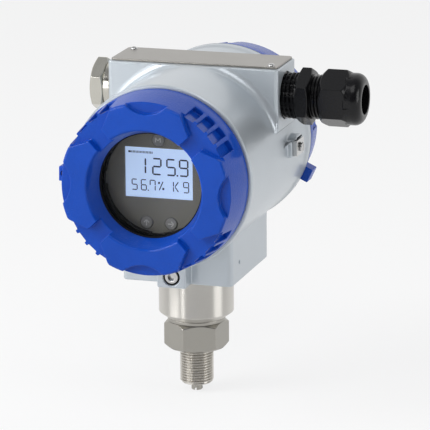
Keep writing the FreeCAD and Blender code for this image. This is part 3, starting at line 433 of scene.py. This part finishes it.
@dataclass(frozen=True)
class ClearGlass(Finish):
    """Toughened glass that lets the display show plainly and gains a sheen at a low angle."""

    cover: float = 0.10
    sheen: float = 0.30

    def draw(self, graph: Graph) -> None:
        """Draw the glass.

        Args:
            graph: the material's graph.
        """
        haze = graph.noise(graph.place((0.2,) * 3), 1.0, 3.0)
        slant = graph.node("ShaderNodeLayerWeight", None, {"Blend": 0.3}, "Facing")
        graph.surface(Base_Color=graph.blend(self.colour, (0.03, 0.035, 0.04), haze),
                      Roughness=self.roughness + 0.02 * haze, IOR=1.5,
                      Alpha=self.cover + self.sheen * slant ** 3)


HOUSING_PAINT = CastPaint("housing_paint", (0.53, 0.575, 0.615), 0.34, metallic=0.50,
                          specular=0.3, coat=0.25, coat_roughness=0.10, peel=0.008, pits=0.015,
                          drift=0.04)
COVER_PAINT = CastPaint("cover_paint", (0.003, 0.068, 0.47), 0.40, specular=0.05, coat=0.40,
                        coat_roughness=0.08, peel=0.22, pits=0.12, drift=0.12)
STAINLESS = TurnedMetal("stainless", (0.66, 0.64, 0.60), 0.34, streak=0.95)
HEX_STEEL = BrushedSheet("hex_steel", (0.41, 0.395, 0.36), 0.36, (0.5, 0.5, 5.0), 0.001)
THREAD_STEEL = TurnedMetal("thread_steel", (0.62, 0.595, 0.55), 0.32, streak=0.9)
NICKEL = TurnedMetal("nickel", (0.60, 0.585, 0.53), 0.20, axis=Axis.X)
SCREW_STEEL = TurnedMetal("screw_steel", (0.60, 0.60, 0.60), 0.20, axis=Axis.Y)
PLATE_STEEL = BrushedSheet("plate_steel", (0.33, 0.315, 0.29), 0.32)
BRASS = TurnedMetal("brass", (0.70, 0.50, 0.20), 0.26, axis=Axis.Y)
NYLON = Moulded("gland_nylon", (0.006, 0.006, 0.007), 0.26, grain=0.003, coat=0.25, specular=0.15)
BLACK_PLASTIC = Moulded("black_plastic", (0.005, 0.005, 0.005), 0.45, specular=0.12)
# The panel is drawn lighter than the real dark panel: painted haze of the window glass, and painted
# light against the shade deep in the window.
PANEL_GREY_PAINTED_LIGHT = Moulded("panel_grey", (0.33, 0.322, 0.285), 0.5, grain=0.005, specular=0.1)
KEY_GREY = Moulded("key_grey", (0.42, 0.42, 0.41), 0.55, grain=0.008, specular=0.2)
# The display face glows: painted light that keeps it bright deep in the window bore.
LCD_FACE_PAINTED_GLOW = Moulded("lcd_face", (0.50, 0.65, 0.92), 0.35, grain=0.0, glow=0.85, specular=0.2)
LCD_INK = Moulded("lcd_ink", (0.10, 0.12, 0.17), 0.6, grain=0.0, specular=0.1)
KEY_INK = Moulded("key_ink", (0.85, 0.85, 0.84), 0.6, grain=0.0)
BOARD = PrintedBoard("circuit_board", (0.02, 0.12, 0.05), 0.4)
RUBBER = Moulded("rubber_black", (0.006, 0.006, 0.006), 0.60, grain=0.012, specular=0.2)
GLASS = ClearGlass("window_glass", (0.02, 0.022, 0.025), 0.02)

BY_SLOT: dict[str, Finish] = {
    "housing_paint": HOUSING_PAINT, "cover_paint": COVER_PAINT, "stainless": STAINLESS,
    "nickel": NICKEL, "screw_steel": SCREW_STEEL, "plate_steel": PLATE_STEEL, "brass": BRASS,
    "gland_nylon": NYLON, "black_plastic": BLACK_PLASTIC, "panel_grey": PANEL_GREY_PAINTED_LIGHT,
    "key_grey": KEY_GREY, "lcd_face": LCD_FACE_PAINTED_GLOW, "circuit_board": BOARD,
    "rubber_black": RUBBER, "window_glass": GLASS}


# ---------------------------------------------------------------------------------------------
# Mesh tools
# ---------------------------------------------------------------------------------------------
def lie_along_x(at: Sequence[float]) -> Matrix:
    """Placement at a point of a piece that was made along Z and lies along X."""
    return Matrix.Translation(at) @ Matrix.Rotation(math.pi / 2, 4, "Y")


class Shape:
    """A mesh under construction, in millimetres.

    STRAY is how far off the surface a bevel may put a corner, as a share of the bevel's reach, and
    FLAT the angle in degrees under which two faces are taken as one.
    """

    STRAY = 0.6
    FLAT = 0.4

    def __init__(self) -> None:
        """Start empty."""
        self.bm = bmesh.new()

    @classmethod
    def copy(cls, node: str, weld: float = SAME) -> "Shape":
        """Copy of a node's mesh, joined up and free of its flat triangles.

        Args:
            node: the node's name.
            weld: corners nearer to each other than this become one.

        Returns:
            The copy.
        """
        made = cls()
        made.bm.from_mesh(NODES[node].data)
        bmesh.ops.scale(made.bm, vec=(1 / MM,) * 3, verts=made.bm.verts)
        bmesh.ops.remove_doubles(made.bm, verts=made.bm.verts, dist=SAME)
        if weld > SAME:
            bmesh.ops.remove_doubles(made.bm, verts=made.bm.verts, dist=weld)
        bmesh.ops.dissolve_limit(made.bm, angle_limit=math.radians(cls.FLAT), verts=made.bm.verts,
                                 edges=made.bm.edges, use_dissolve_boundaries=False)
        return made

    def soften(self, radius: float, segments: int = 3, sharp: float = 32.0,
               wanted: Optional[Callable[[Vector], bool]] = None) -> "Shape":
        """Round the sharp edges; a corner that a bevel throws off the surface is drawn back to it.

        Args:
            radius: how far each bevel reaches from its edge.
            segments: the bevel's steps.
            sharp: the least angle between two faces at a sharp edge, in degrees.
            wanted: picks edges by their middle, or None for all.

        Returns:
            The shape itself.
        """
        limit = math.radians(sharp)
        picked = [edge for edge in self.bm.edges
                  if edge.is_manifold and edge.calc_face_angle(0.0) > limit
                  and (wanted is None or wanted((edge.verts[0].co + edge.verts[1].co) / 2))]
        surface = BVHTree.FromBMesh(self.bm)
        bmesh.ops.bevel(self.bm, geom=picked, offset=radius, offset_type="OFFSET",
                        segments=segments, profile=0.5, affect="EDGES", clamp_overlap=False,
                        material=-1)
        for vert in self.bm.verts:
            nearest, _, _, off = surface.find_nearest(vert.co)
            if off > self.STRAY * radius:
                vert.co = nearest
        return self

    def thread(self, crest: float, root: float, pitch: float, low: float, high: float,
               taper: float = 0.0, steps: int = 72) -> "Shape":
        """Add a screw thread about Z, cut square at both ends.

        Args:
            crest: radius at the crests at the low end.
            root: radius at the roots there.
            pitch: height of one turn.
            low: height of the thread's start.
            high: height of its end.
            taper: what the radius gains for each millimetre of height.
            steps: facets in a full turn.

        Returns:
            The shape itself.
        """
        new = Shape()
        turns = math.ceil((high - low) / pitch) + 2
        shares = ((0.0, 0.0), (0.08, 0.0), (0.40, 1.0), (0.56, 1.0), (0.88, 0.0), (1.0, 0.0))
        verts = [new.bm.verts.new((root + share * (crest - root), 0, low - pitch + place * pitch))
                 for place, share in shares]
        edges = [new.bm.edges.new(pair) for pair in zip(verts, verts[1:])]
        bmesh.ops.spin(new.bm, geom=verts + edges, cent=(0, 0, 0), axis=(0, 0, 1),
                       dvec=(0, 0, pitch / steps), angle=2 * math.pi * turns, steps=steps * turns,
                       use_merge=False)
        bmesh.ops.remove_doubles(new.bm, verts=new.bm.verts, dist=SAME)
        for height, side in ((low, -1), (high, 1)):
            bmesh.ops.bisect_plane(new.bm, geom=new.bm.verts[:] + new.bm.edges[:] + new.bm.faces[:],
                                   dist=0.0001, plane_co=(0, 0, height), plane_no=(0, 0, side),
                                   clear_outer=True)
        bmesh.ops.holes_fill(new.bm, edges=[e for e in new.bm.edges if e.is_boundary], sides=0)
        for vert in new.bm.verts:
            grow = 1 + taper * (vert.co.z - low) / max(math.hypot(vert.co.x, vert.co.y), 1.0)
            vert.co.x *= grow
            vert.co.y *= grow
        return self.join(new.close())

    def bar(self, length: float, width: float, height: float,
            place: Optional[Matrix] = None) -> "Shape":
        """Add a block centred on its place.

        Args:
            length: its size along X.
            width: its size along Y.
            height: its size along Z.
            place: where it goes.

        Returns:
            The shape itself.
        """
        size = Matrix.Diagonal((length, width, height, 1.0))
        bmesh.ops.create_cube(self.bm, size=1.0, matrix=(place or Matrix.Identity(4)) @ size)
        return self

    def stroke(self, start: Pair, end: Pair, width: float, depth: float) -> "Shape":
        """Add a flat mark with pointed ends, as on a segment display, lying in X and Y.

        Args:
            start: one tip.
            end: the other tip.
            width: how wide the mark is.
            depth: how thick it is.

        Returns:
            The shape itself.
        """
        run = Vector(end) - Vector(start)
        reach = max(run.length / 2 - width / 2, 0.0)
        new = Shape()
        bmesh.ops.create_circle(new.bm, cap_ends=True, radius=0.58 * width, segments=6,
                                matrix=Matrix.Rotation(math.radians(30), 4, "Z"))
        for vert in new.bm.verts:
            vert.co.x += math.copysign(reach, vert.co.x) if abs(vert.co.x) > 0.01 * width else 0.0
        raised = bmesh.ops.extrude_face_region(new.bm, geom=new.bm.faces[:])
        lifted = [item for item in raised["geom"] if isinstance(item, bmesh.types.BMVert)]
        bmesh.ops.translate(new.bm, vec=(0, 0, depth), verts=lifted)
        middle = (Vector(start) + Vector(end)) / 2
        angle = math.atan2(run.y, run.x)
        new.move(Matrix.Translation((middle.x, middle.y, 0)) @ Matrix.Rotation(angle, 4, "Z"))
        return self.join(new.close())

    def move(self, place: Matrix) -> "Shape":
        """Apply a placement to everything so far."""
        bmesh.ops.transform(self.bm, matrix=place, verts=self.bm.verts)
        return self

    def join(self, other: "Shape") -> "Shape":
        """Add another shape's faces, and drop that shape.

        Args:
            other: the shape to add.

        Returns:
            The shape itself.
        """
        mesh = bpy.data.meshes.new("joined")
        other.bm.to_mesh(mesh)
        other.bm.free()
        self.bm.from_mesh(mesh)
        bpy.data.meshes.remove(mesh)
        return self

    def close(self) -> "Shape":
        """Merge seams and poles and turn every face outwards.

        Returns:
            The shape itself.
        """
        bmesh.ops.remove_doubles(self.bm, verts=self.bm.verts, dist=0.0005)
        bmesh.ops.recalc_face_normals(self.bm, faces=self.bm.faces)
        return self

    def finish(self, name: str, body: str, look: Finish, slot: str,
               stands_for: Sequence[str] = (), crease: float = 38.0) -> bpy.types.Object:
        """Make the piece.

        Args:
            name: the piece's name.
            body: the body that it rides on.
            look: its finish.
            slot: not used.
            stands_for: the nodes that it replaces.
            crease: edges with more than this angle stay sharp, in degrees.

        Returns:
            The new object.
        """
        bmesh.ops.scale(self.bm, vec=(MM,) * 3, verts=self.bm.verts)
        for face in self.bm.faces:
            face.smooth = True
        for edge in self.bm.edges:
            edge.smooth = not edge.is_manifold or edge.calc_face_angle(0.0) < math.radians(crease)
        mesh = bpy.data.meshes.new(name)
        self.bm.to_mesh(mesh)
        self.bm.free()
        thing = bpy.data.objects.new(name, mesh)
        bpy.context.scene.collection.objects.link(thing)
        weigh = thing.modifiers.new("weighted_normals", "WEIGHTED_NORMAL")
        weigh.keep_sharp = True
        look.dress(thing)
        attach(thing, body)
        if stands_for:
            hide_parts(*stands_for)
        LOG.info("%s: %d faces on %s", name, len(mesh.polygons), body)
        return thing


def middle(node: str) -> Vector:
    """Middle of a node's box, in millimetres."""
    low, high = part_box(node)
    return (low + high) / 2 / MM


def softened(node: str, body: str, radius: float, look: Optional[Finish] = None,
             segments: int = 3, weld: float = SAME) -> bpy.types.Object:
    """A node's own shape with rounded edges, in place of the node.

    Args:
        node: the node.
        body: the body that it is part of.
        radius: how far the rounding reaches.
        look: its finish, or None for that of its slot.
        segments: the rounding's steps.
        weld: corners nearer to each other than this become one first.

    Returns:
        The new piece.
    """
    slot = SLOTS[node]
    shape = Shape.copy(node, weld).soften(radius, segments)
    return shape.finish(node + "_cast", body, look or BY_SLOT[slot], slot, [node])


# ---------------------------------------------------------------------------------------------
# Sub-assemblies
# ---------------------------------------------------------------------------------------------
@dataclass
class SensorModule:
    """Process fitting with its pipe thread, and the sensor body above it."""

    pitch: float = 1.337
    thread_deep: float = 0.86
    lead: float = 1.1
    lead_slope: float = 1.1
    core_inset: float = 1.32
    edge: float = 0.35

    def build(self) -> None:
        """Build and dress the module."""
        low, high = (corner.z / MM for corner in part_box("process_fitting"))
        mount = frame["record"]["mounts"][0]["dims"]
        crest = mount["r_mm"]
        fitting = Shape.copy("process_fitting").soften(self.edge, 3, 32.0, lambda at: at.z > -0.2)
        foot = min(vert.co.z for vert in fitting.bm.verts
                   if math.hypot(vert.co.x, vert.co.y) > crest - 2 * self.lead)
        for vert in fitting.bm.verts:
            reach = math.hypot(vert.co.x, vert.co.y)
            if vert.co.z < -0.3 and reach > crest - 2 * self.lead:
                vert.co.x *= (crest - self.core_inset) / reach
                vert.co.y *= (crest - self.core_inset) / reach
        threads = Shape().thread(crest, crest - self.thread_deep, self.pitch, foot, 0.05)
        for vert in threads.bm.verts:
            reach = math.hypot(vert.co.x, vert.co.y)
            allowed = crest - max(0.0, foot + self.lead - vert.co.z) * self.lead_slope
            if reach > allowed:
                vert.co.x *= allowed / reach
                vert.co.y *= allowed / reach
        fitting.finish("process_fitting_turned", "sensor", HEX_STEEL, "stainless",
                       ["process_fitting"])
        threads.finish("process_thread_cut", "sensor", THREAD_STEEL, "stainless")
        softened("sensor_body", "sensor", self.edge, STAINLESS)
        LOG.info("sensor module from %.1f to %.1f", low, high)


@dataclass
class Head:
    """Painted casting with its nameplate, lock screw, plug and ground terminal."""

    casting_edge: float = 0.7
    plate_edge: float = 0.2
    plug_edge: float = 0.35
    screw_edge: float = 0.3
    rivet_edge: float = 0.08
    seal_edge: float = 0.05

    def build(self) -> None:
        """Build and dress the head."""
        softened("housing", "head", self.casting_edge)
        softened("nameplate", "head", self.plate_edge, segments=2)
        softened("nameplate_rivets", "head", self.rivet_edge, segments=2)
        softened("blank_plug", "head", self.plug_edge)
        softened("rotation_lock_screw", "head", self.screw_edge)
        # A black ring fills the gap round the lock screw's head.
        softened("lock_screw_seal", "head", self.seal_edge, segments=1)
        softened("ground_saddle", "head", self.screw_edge)
        softened("ground_screw", "head", self.screw_edge)


@dataclass
class Covers:
    """Both screwed covers with their set screws, and the window of the front one."""

    edge: float = 0.45
    weld: float = 0.2
    recess: float = 3.6
    comb_rad: float = 40.4
    screw_edge: float = 0.12
    retainer_edge: float = 0.15
    gasket_edge: float = 0.1

    def build(self) -> None:
        """Build and dress the covers."""
        front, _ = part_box("front_cover")
        _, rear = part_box("rear_cover")
        self.casting("front_cover", "front_lid", front.y / MM + self.recess)
        self.casting("rear_cover", "rear_lid", rear.y / MM - self.recess)
        softened("front_lock_screw", "front_lid", self.screw_edge, BRASS)
        softened("rear_lock_screw", "rear_lid", self.screw_edge, BRASS)
        softened("window_retainer", "front_lid", self.retainer_edge)
        softened("window_gasket", "front_lid", self.gasket_edge)

    def casting(self, node: str, body: str, floor: float) -> None:
        """Round a cover's edges, apart from the short ones where its slots meet a recess.

        Args:
            node: the cover.
            body: the body that it is part of.
            floor: the place of the recess floors along Y.
        """
        axis = middle("front_window")

        def plain(at: Vector) -> bool:
            """Whether an edge with this middle is clear of the slots' inner line."""
            out = math.hypot(at.x - axis.x, at.z - axis.z)
            return abs(at.y - floor) > 0.1 or out < self.comb_rad

        shape = Shape.copy(node, self.weld).soften(self.edge, 3, 32.0, plain)
        shape.finish(node + "_cast", body, COVER_PAINT, SLOTS[node], [node])


class Segment(Enum):
    """Strokes of a segment character, as tips on a grid two high and one wide."""

    TOP = ((0.0, 2.0), (1.0, 2.0))
    UPPER_RIGHT = ((1.0, 2.0), (1.0, 1.0))
    LOWER_RIGHT = ((1.0, 1.0), (1.0, 0.0))
    BOTTOM = ((0.0, 0.0), (1.0, 0.0))
    LOWER_LEFT = ((0.0, 1.0), (0.0, 0.0))
    UPPER_LEFT = ((0.0, 2.0), (0.0, 1.0))
    MIDDLE = ((0.0, 1.0), (1.0, 1.0))
    RISING = ((0.3, 1.0), (1.0, 2.0))
    FALLING = ((0.3, 1.0), (1.0, 0.0))
    SLASH = ((0.1, 0.1), (0.9, 1.9))


S = Segment
CHARACTERS: dict[str, tuple[Segment, ...]] = {
    "1": (S.UPPER_RIGHT, S.LOWER_RIGHT),
    "2": (S.TOP, S.UPPER_RIGHT, S.MIDDLE, S.LOWER_LEFT, S.BOTTOM),
    "5": (S.TOP, S.UPPER_LEFT, S.MIDDLE, S.LOWER_RIGHT, S.BOTTOM),
    "6": (S.TOP, S.UPPER_LEFT, S.MIDDLE, S.LOWER_RIGHT, S.BOTTOM, S.LOWER_LEFT),
    "7": (S.UPPER_LEFT, S.TOP, S.UPPER_RIGHT, S.LOWER_RIGHT),
    "9": (S.TOP, S.UPPER_LEFT, S.UPPER_RIGHT, S.MIDDLE, S.LOWER_RIGHT, S.BOTTOM),
    "K": (S.UPPER_LEFT, S.LOWER_LEFT, S.RISING, S.FALLING),
    "/": (S.SLASH,)}


@dataclass(frozen=True)
class Row:
    """One row of characters on the display: text, places of their middles, and size."""

    text: str
    places: tuple[float, ...]
    down: float
    wide: float
    tall: float
    stroke: float


@dataclass
class Display:
    """Front panel, display characters and key marks."""

    ink: float = 0.03
    rows: tuple[Row, ...] = (
        Row("1259", (7.9, 15.6, 22.6, 28.9), 9.2, 4.0, 7.6, 0.78),
        Row("567", (4.4, 9.0, 13.4), 18.5, 2.5, 5.0, 0.52),
        Row("K9", (25.0, 30.0), 18.5, 2.5, 5.0, 0.52))
    points: tuple[Triple, ...] = ((25.75, 13.0, 0.85), (11.2, 21.0, 0.6))
    ticks: int = 15
    tick_step: float = 0.72
    tick_size: Pair = (0.42, 1.1)
    tick_start: float = 3.2
    tick_down: float = 2.6
    pointer: Pair = (1.4, 2.8)
    pointer_wide: float = 1.0
    percent_slash: float = 17.6
    percent_dots: tuple[Pair, Pair] = ((16.6, 1.4), (18.7, -1.4))
    percent_dot_size: Pair = (0.95, 1.1)
    view_half: float = 16.8
    top_margin: float = 0.3
    moulding_edge: float = 0.15
    left: float = field(init=False, default=0.0)
    top: float = field(init=False, default=0.0)

    def build(self) -> None:
        """Build and dress the display module."""
        low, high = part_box("lcd_module")
        panel = middle("display_panel")
        view = middle("lcd_module")
        self.left = view.x - self.view_half
        self.top = high.z / MM - self.top_margin
        face = low.y / MM
        marks = Shape()
        for row in self.rows:
            for letter, place in zip(row.text, row.places):
                self.character(marks, row, letter, place)
        for right, down, size in self.points:
            marks.bar(size, size, 2 * self.ink,
                      Matrix.Translation((self.left + right, self.top - down, 0)))
        self.percent(marks)
        level = self.top - self.tick_down
        for number in range(self.ticks):
            marks.bar(*self.tick_size, 2 * self.ink, Matrix.Translation(
                (self.left + self.tick_start + number * self.tick_step, level, 0)))
        tail, tip = self.pointer
        marks.stroke((self.left + tail, level), (self.left + tip, level), self.pointer_wide,
                     self.ink)
        marks.move(Matrix.Translation((0, face, 0)) @ Matrix.Rotation(math.pi / 2, 4, "X"))
        marks.finish("lcd_characters", "head", LCD_INK, "lcd_face")
        softened("display_panel", "head", self.moulding_edge, segments=2)
        for node, body in (("key_left", "left_key"), ("key_right", "right_key"),
                           ("key_menu", "menu_key")):
            softened(node, body, self.moulding_edge, segments=2)
            self.key_mark(node, body)
        LOG.info("display centred at %.1f, panel at %.1f", view.z, panel.z)

    def character(self, marks: Shape, row: Row, letter: str, place: float) -> None:
        """Add one segment character.

        Args:
            marks: the shape that takes it.
            row: the row that it stands in.
            letter: the character.
            place: its middle, from the left edge of the view.
        """
        corner = Vector((self.left + place - row.wide / 2, self.top - row.down - row.tall / 2))
        for segment in CHARACTERS[letter]:
            start, end = (corner + Vector((across * row.wide, up * row.tall / 2))
                          for across, up in segment.value)
            gap = (end - start).normalized() * row.stroke * 0.25
            marks.stroke(tuple(start + gap), tuple(end - gap), row.stroke, self.ink)

    def percent(self, marks: Shape) -> None:
        """Add the per cent sign after the second row.

        Args:
            marks: the shape that takes it.
        """
        row = self.rows[1]
        self.character(marks, row, "/", self.percent_slash)
        for across, up in self.percent_dots:
            marks.bar(*self.percent_dot_size, 2 * self.ink, Matrix.Translation(
                (self.left + across, self.top - row.down + up, 0)))

    def key_mark(self, node: str, body: str) -> None:
        """Add the mark on a key: an arrow, or two joined peaks for the menu key.

        Args:
            node: the key.
            body: the body that the key rides on.
        """
        low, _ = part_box(node)
        centre = middle(node)
        mark = Shape()
        if node == "key_menu":
            corners = ((-1.2, -1.1), (-1.2, 1.1), (0.0, -0.3), (1.2, 1.1), (1.2, -1.1))
            for start, end in zip(corners, corners[1:]):
                mark.stroke(start, end, 0.5, self.ink)
        else:
            for start, end in (((-1.3, 0.1), (0.0, 1.4)), ((1.3, 0.1), (0.0, 1.4)),
                               ((0.0, 1.4), (0.0, -1.5))):
                mark.stroke(start, end, 0.55, self.ink)
        if node == "key_right":
            mark.move(Matrix.Rotation(math.radians(-90), 4, "Z"))
        mark.move(Matrix.Translation((centre.x, low.y / MM, centre.z))
                  @ Matrix.Rotation(math.pi / 2, 4, "X"))
        mark.finish(node + "_mark", body, KEY_INK, "key_grey")


@dataclass
class Gland:
    """Cable gland with a real thread in view, and its cap nut."""

    pitch: float = 2.1
    thread_deep: float = 1.35
    edge: float = 0.25
    taper: float = 0.03125
    length: float = 10.5
    bite: float = 0.1
    flange_least_rad: float = 12.5
    stem_least_rad: float = 9.5
    stem_clear: float = 0.6
    core_share: float = 0.86
    nut_weld: float = 0.15
    collar_rad: float = 10.9
    collar_deep: float = 1.0
    collar_pitch: float = 1.7
    collar_reach: float = 5.2
    collar_core_share: float = 0.90
    nut_clear: float = 0.15

    def build(self) -> None:
        """Build and dress the gland."""
        _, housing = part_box("housing")
        axis = middle("gland_nut")
        body = Shape.copy("gland_body")
        body.soften(self.edge, 3)
        flange = min(vert.co.x for vert in body.bm.verts
                     if math.hypot(vert.co.y - axis.y, vert.co.z - axis.z) > self.flange_least_rad)
        stem = [vert for vert in body.bm.verts
                if vert.co.x < flange - self.stem_clear
                and math.hypot(vert.co.y - axis.y, vert.co.z - axis.z) > self.stem_least_rad]
        crest = max(math.hypot(vert.co.y - axis.y, vert.co.z - axis.z) for vert in stem)
        for vert in stem:
            vert.co.y = axis.y + (vert.co.y - axis.y) * self.core_share
            vert.co.z = axis.z + (vert.co.z - axis.z) * self.core_share
        start = crest - self.taper * self.length
        threads = Shape().thread(start, start - self.thread_deep, self.pitch, 0.0, self.length,
                                 self.taper)
        threads.move(lie_along_x((flange - self.length + self.bite, axis.y, axis.z)))
        body.join(threads)
        self.collar(body, axis)
        body.finish("gland_body_moulded", "head", NYLON, SLOTS["gland_body"], ["gland_body"])
        softened("gland_nut", "cap_nut", self.edge, weld=self.nut_weld)
        LOG.info("gland thread crest %.2f from the wall at %.1f", crest, housing.x / MM)

    def collar(self, body: Shape, axis: Vector) -> None:
        """Cut the cap nut's thread into the collar beyond the hexagon.

        Args:
            body: the gland body under construction.
            axis: a point on the gland's axis.
        """
        nut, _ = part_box("gland_nut")
        end = nut.x / MM
        found = [vert for vert in body.bm.verts
                 if end - self.collar_reach < vert.co.x < end and self.collar_rad - 0.4
                 < math.hypot(vert.co.y - axis.y, vert.co.z - axis.z) < self.collar_rad + 0.2]
        low = min(vert.co.x for vert in found)
        for vert in found:
            vert.co.y = axis.y + (vert.co.y - axis.y) * self.collar_core_share
            vert.co.z = axis.z + (vert.co.z - axis.z) * self.collar_core_share
        rings = Shape().thread(self.collar_rad, self.collar_rad - self.collar_deep,
                               self.collar_pitch, 0.0, end - self.nut_clear - low)
        body.join(rings.move(lie_along_x((low, axis.y, axis.z))))


@dataclass(frozen=True)
class Lamp:
    """Soft rectangular light: place in metres from the object's middle, size, and watts."""

    name: str
    at: Triple
    wide: float
    tall: float
    power: float


@dataclass
class Studio:
    """Camera, floor, lights and background."""

    azimuth: float = 17.439
    elevation: float = 14.326
    roll: float = -0.375
    distance: float = 1764.9
    lens: float = 298.8
    aim: Triple = (3.47, 20.42, 61.51)
    floor_half: float = 6.0
    lamps: tuple[Lamp, ...] = (
        Lamp("key_light", (-1.21, -0.85, 1.03), 0.8, 0.8, 16.0),
        Lamp("overhead_light", (0.25, -0.9, 1.45), 1.2, 0.9, 8.0),
        Lamp("left_strip", (-0.62, -1.39, 0.32), 0.18, 0.75, 3.0),
        Lamp("left_box", (-1.22, -0.88, 0.22), 0.85, 0.75, 4.5),
        Lamp("right_box", (1.50, -0.08, 0.30), 0.75, 0.75, 6.0))

    def build(self) -> None:
        """Build the studio."""
        self.camera()
        self.floor()
        self.world()
        for lamp in self.lamps:
            self.light(lamp)

    def camera(self) -> None:
        """Camera at the viewing angle, aimed at the middle of the view."""
        azimuth, elevation = math.radians(self.azimuth), math.radians(self.elevation)
        out = Vector((math.cos(elevation) * math.sin(azimuth),
                      -math.cos(elevation) * math.cos(azimuth), math.sin(elevation)))
        data = bpy.data.cameras.new("camera")
        data.lens = self.lens
        data.sensor_width = 36.0
        data.clip_end = 50.0
        eye = bpy.data.objects.new("camera", data)
        turn = out.to_track_quat("Z", "Y").to_matrix().to_4x4()
        eye.matrix_world = (Matrix.Translation((Vector(self.aim) + out * self.distance) * MM) @ turn
                            @ Matrix.Rotation(math.radians(self.roll), 4, "Z"))
        bpy.context.scene.collection.objects.link(eye)
        bpy.context.scene.camera = eye

    def floor(self) -> None:
        """Pale floor under the object that keeps its shadow."""
        shape = Shape()
        bmesh.ops.create_grid(shape.bm, x_segments=1, y_segments=1, size=self.floor_half)
        bmesh.ops.translate(shape.bm, vec=(0, 0, CAD_BOX[0][2]), verts=shape.bm.verts)
        mesh = bpy.data.meshes.new("floor")
        shape.bm.to_mesh(mesh)
        shape.bm.free()
        ground = bpy.data.objects.new("floor", mesh)
        bpy.context.scene.collection.objects.link(ground)
        material = bpy.data.materials.new("floor_pale")
        graph = Graph(material)
        pale = graph.node("ShaderNodeBsdfDiffuse", None, {"Color": (0.86, 0.86, 0.86, 1.0)})
        white = graph.node("ShaderNodeEmission", None, {"Color": (1, 1, 1, 1), "Strength": 1.0})
        mixed = graph.node("ShaderNodeMixShader", None, {
            0: 0.8 * self.backdrop_seen(graph), 1: pale, 2: white})
        graph.node("ShaderNodeOutputMaterial", None, {"Surface": mixed})
        mesh.materials.append(material)

    @staticmethod
    def backdrop_seen(graph: Graph) -> Wire:
        """1 where the eye, a reflection or clear glass sees the backdrop, and 0 for its light.

        Args:
            graph: the graph of the floor or the world.

        Returns:
            The switch.
        """
        seen = [graph.node("ShaderNodeLightPath", output=way)
                for way in ("Is Camera Ray", "Is Glossy Ray", "Is Transmission Ray")]
        return sum(seen[1:], seen[0]).step(0.0, 1.0)

    def world(self) -> None:
        """White backdrop behind the object, and a pale room that is darker at the camera's side."""
        world = bpy.data.worlds.new("room")
        bpy.context.scene.world = world
        graph = Graph(world)
        way = graph.node("ShaderNodeTexCoord", output="Generated")
        across = graph.node("ShaderNodeSeparateXYZ", None, {0: way}, "X")
        back = graph.node("ShaderNodeSeparateXYZ", None, {0: way}, "Y")
        behind = back - 0.3 * across
        tone = graph.blend((0.04, 0.04, 0.045), (0.38, 0.39, 0.40), behind.step(-0.95, 0.25))
        room = graph.node("ShaderNodeBackground", None, {"Color": tone, "Strength": 1.0})
        white = graph.node("ShaderNodeBackground", None, {"Color": (1, 1, 1, 1), "Strength": 1.0})
        eye = graph.node("ShaderNodeLightPath", output="Is Camera Ray")
        shown = eye + (1 - eye) * self.backdrop_seen(graph) * behind.step(0.1, 0.6)
        mixed = graph.node("ShaderNodeMixShader", None, {0: shown, 1: room, 2: white})
        graph.node("ShaderNodeOutputWorld", None, {"Surface": mixed})

    def light(self, lamp: Lamp) -> None:
        """Add a light aimed at the object.

        Args:
            lamp: the light.
        """
        data = bpy.data.lights.new(lamp.name, "AREA")
        data.shape = "RECTANGLE"
        data.size = lamp.wide
        data.size_y = lamp.tall
        data.energy = lamp.power
        thing = bpy.data.objects.new(lamp.name, data)
        centre = (Vector(CAD_BOX[0]) + Vector(CAD_BOX[1])) / 2
        at = Vector(lamp.at)
        turn = at.to_track_quat("Z", "Y").to_matrix().to_4x4()
        thing.matrix_world = Matrix.Translation(centre + at) @ turn
        bpy.context.scene.collection.objects.link(thing)


def dress_nodes() -> None:
    """Dress every node with the finish of its slot."""
    for name, thing in NODES.items():
        BY_SLOT[SLOTS[name]].dress(thing)


def main() -> None:
    """Build the object piece by piece, then the studio round it."""
    logging.basicConfig(level=logging.INFO, format="%(message)s")
    dress_nodes()
    for part in (SensorModule(), Head(), Covers(), Display(), Gland(), Studio()):
        LOG.info("building %s", type(part).__name__)
        part.build()
    bpy.context.scene.view_settings.view_transform = "Standard"


if __name__ == "__main__":
    main()
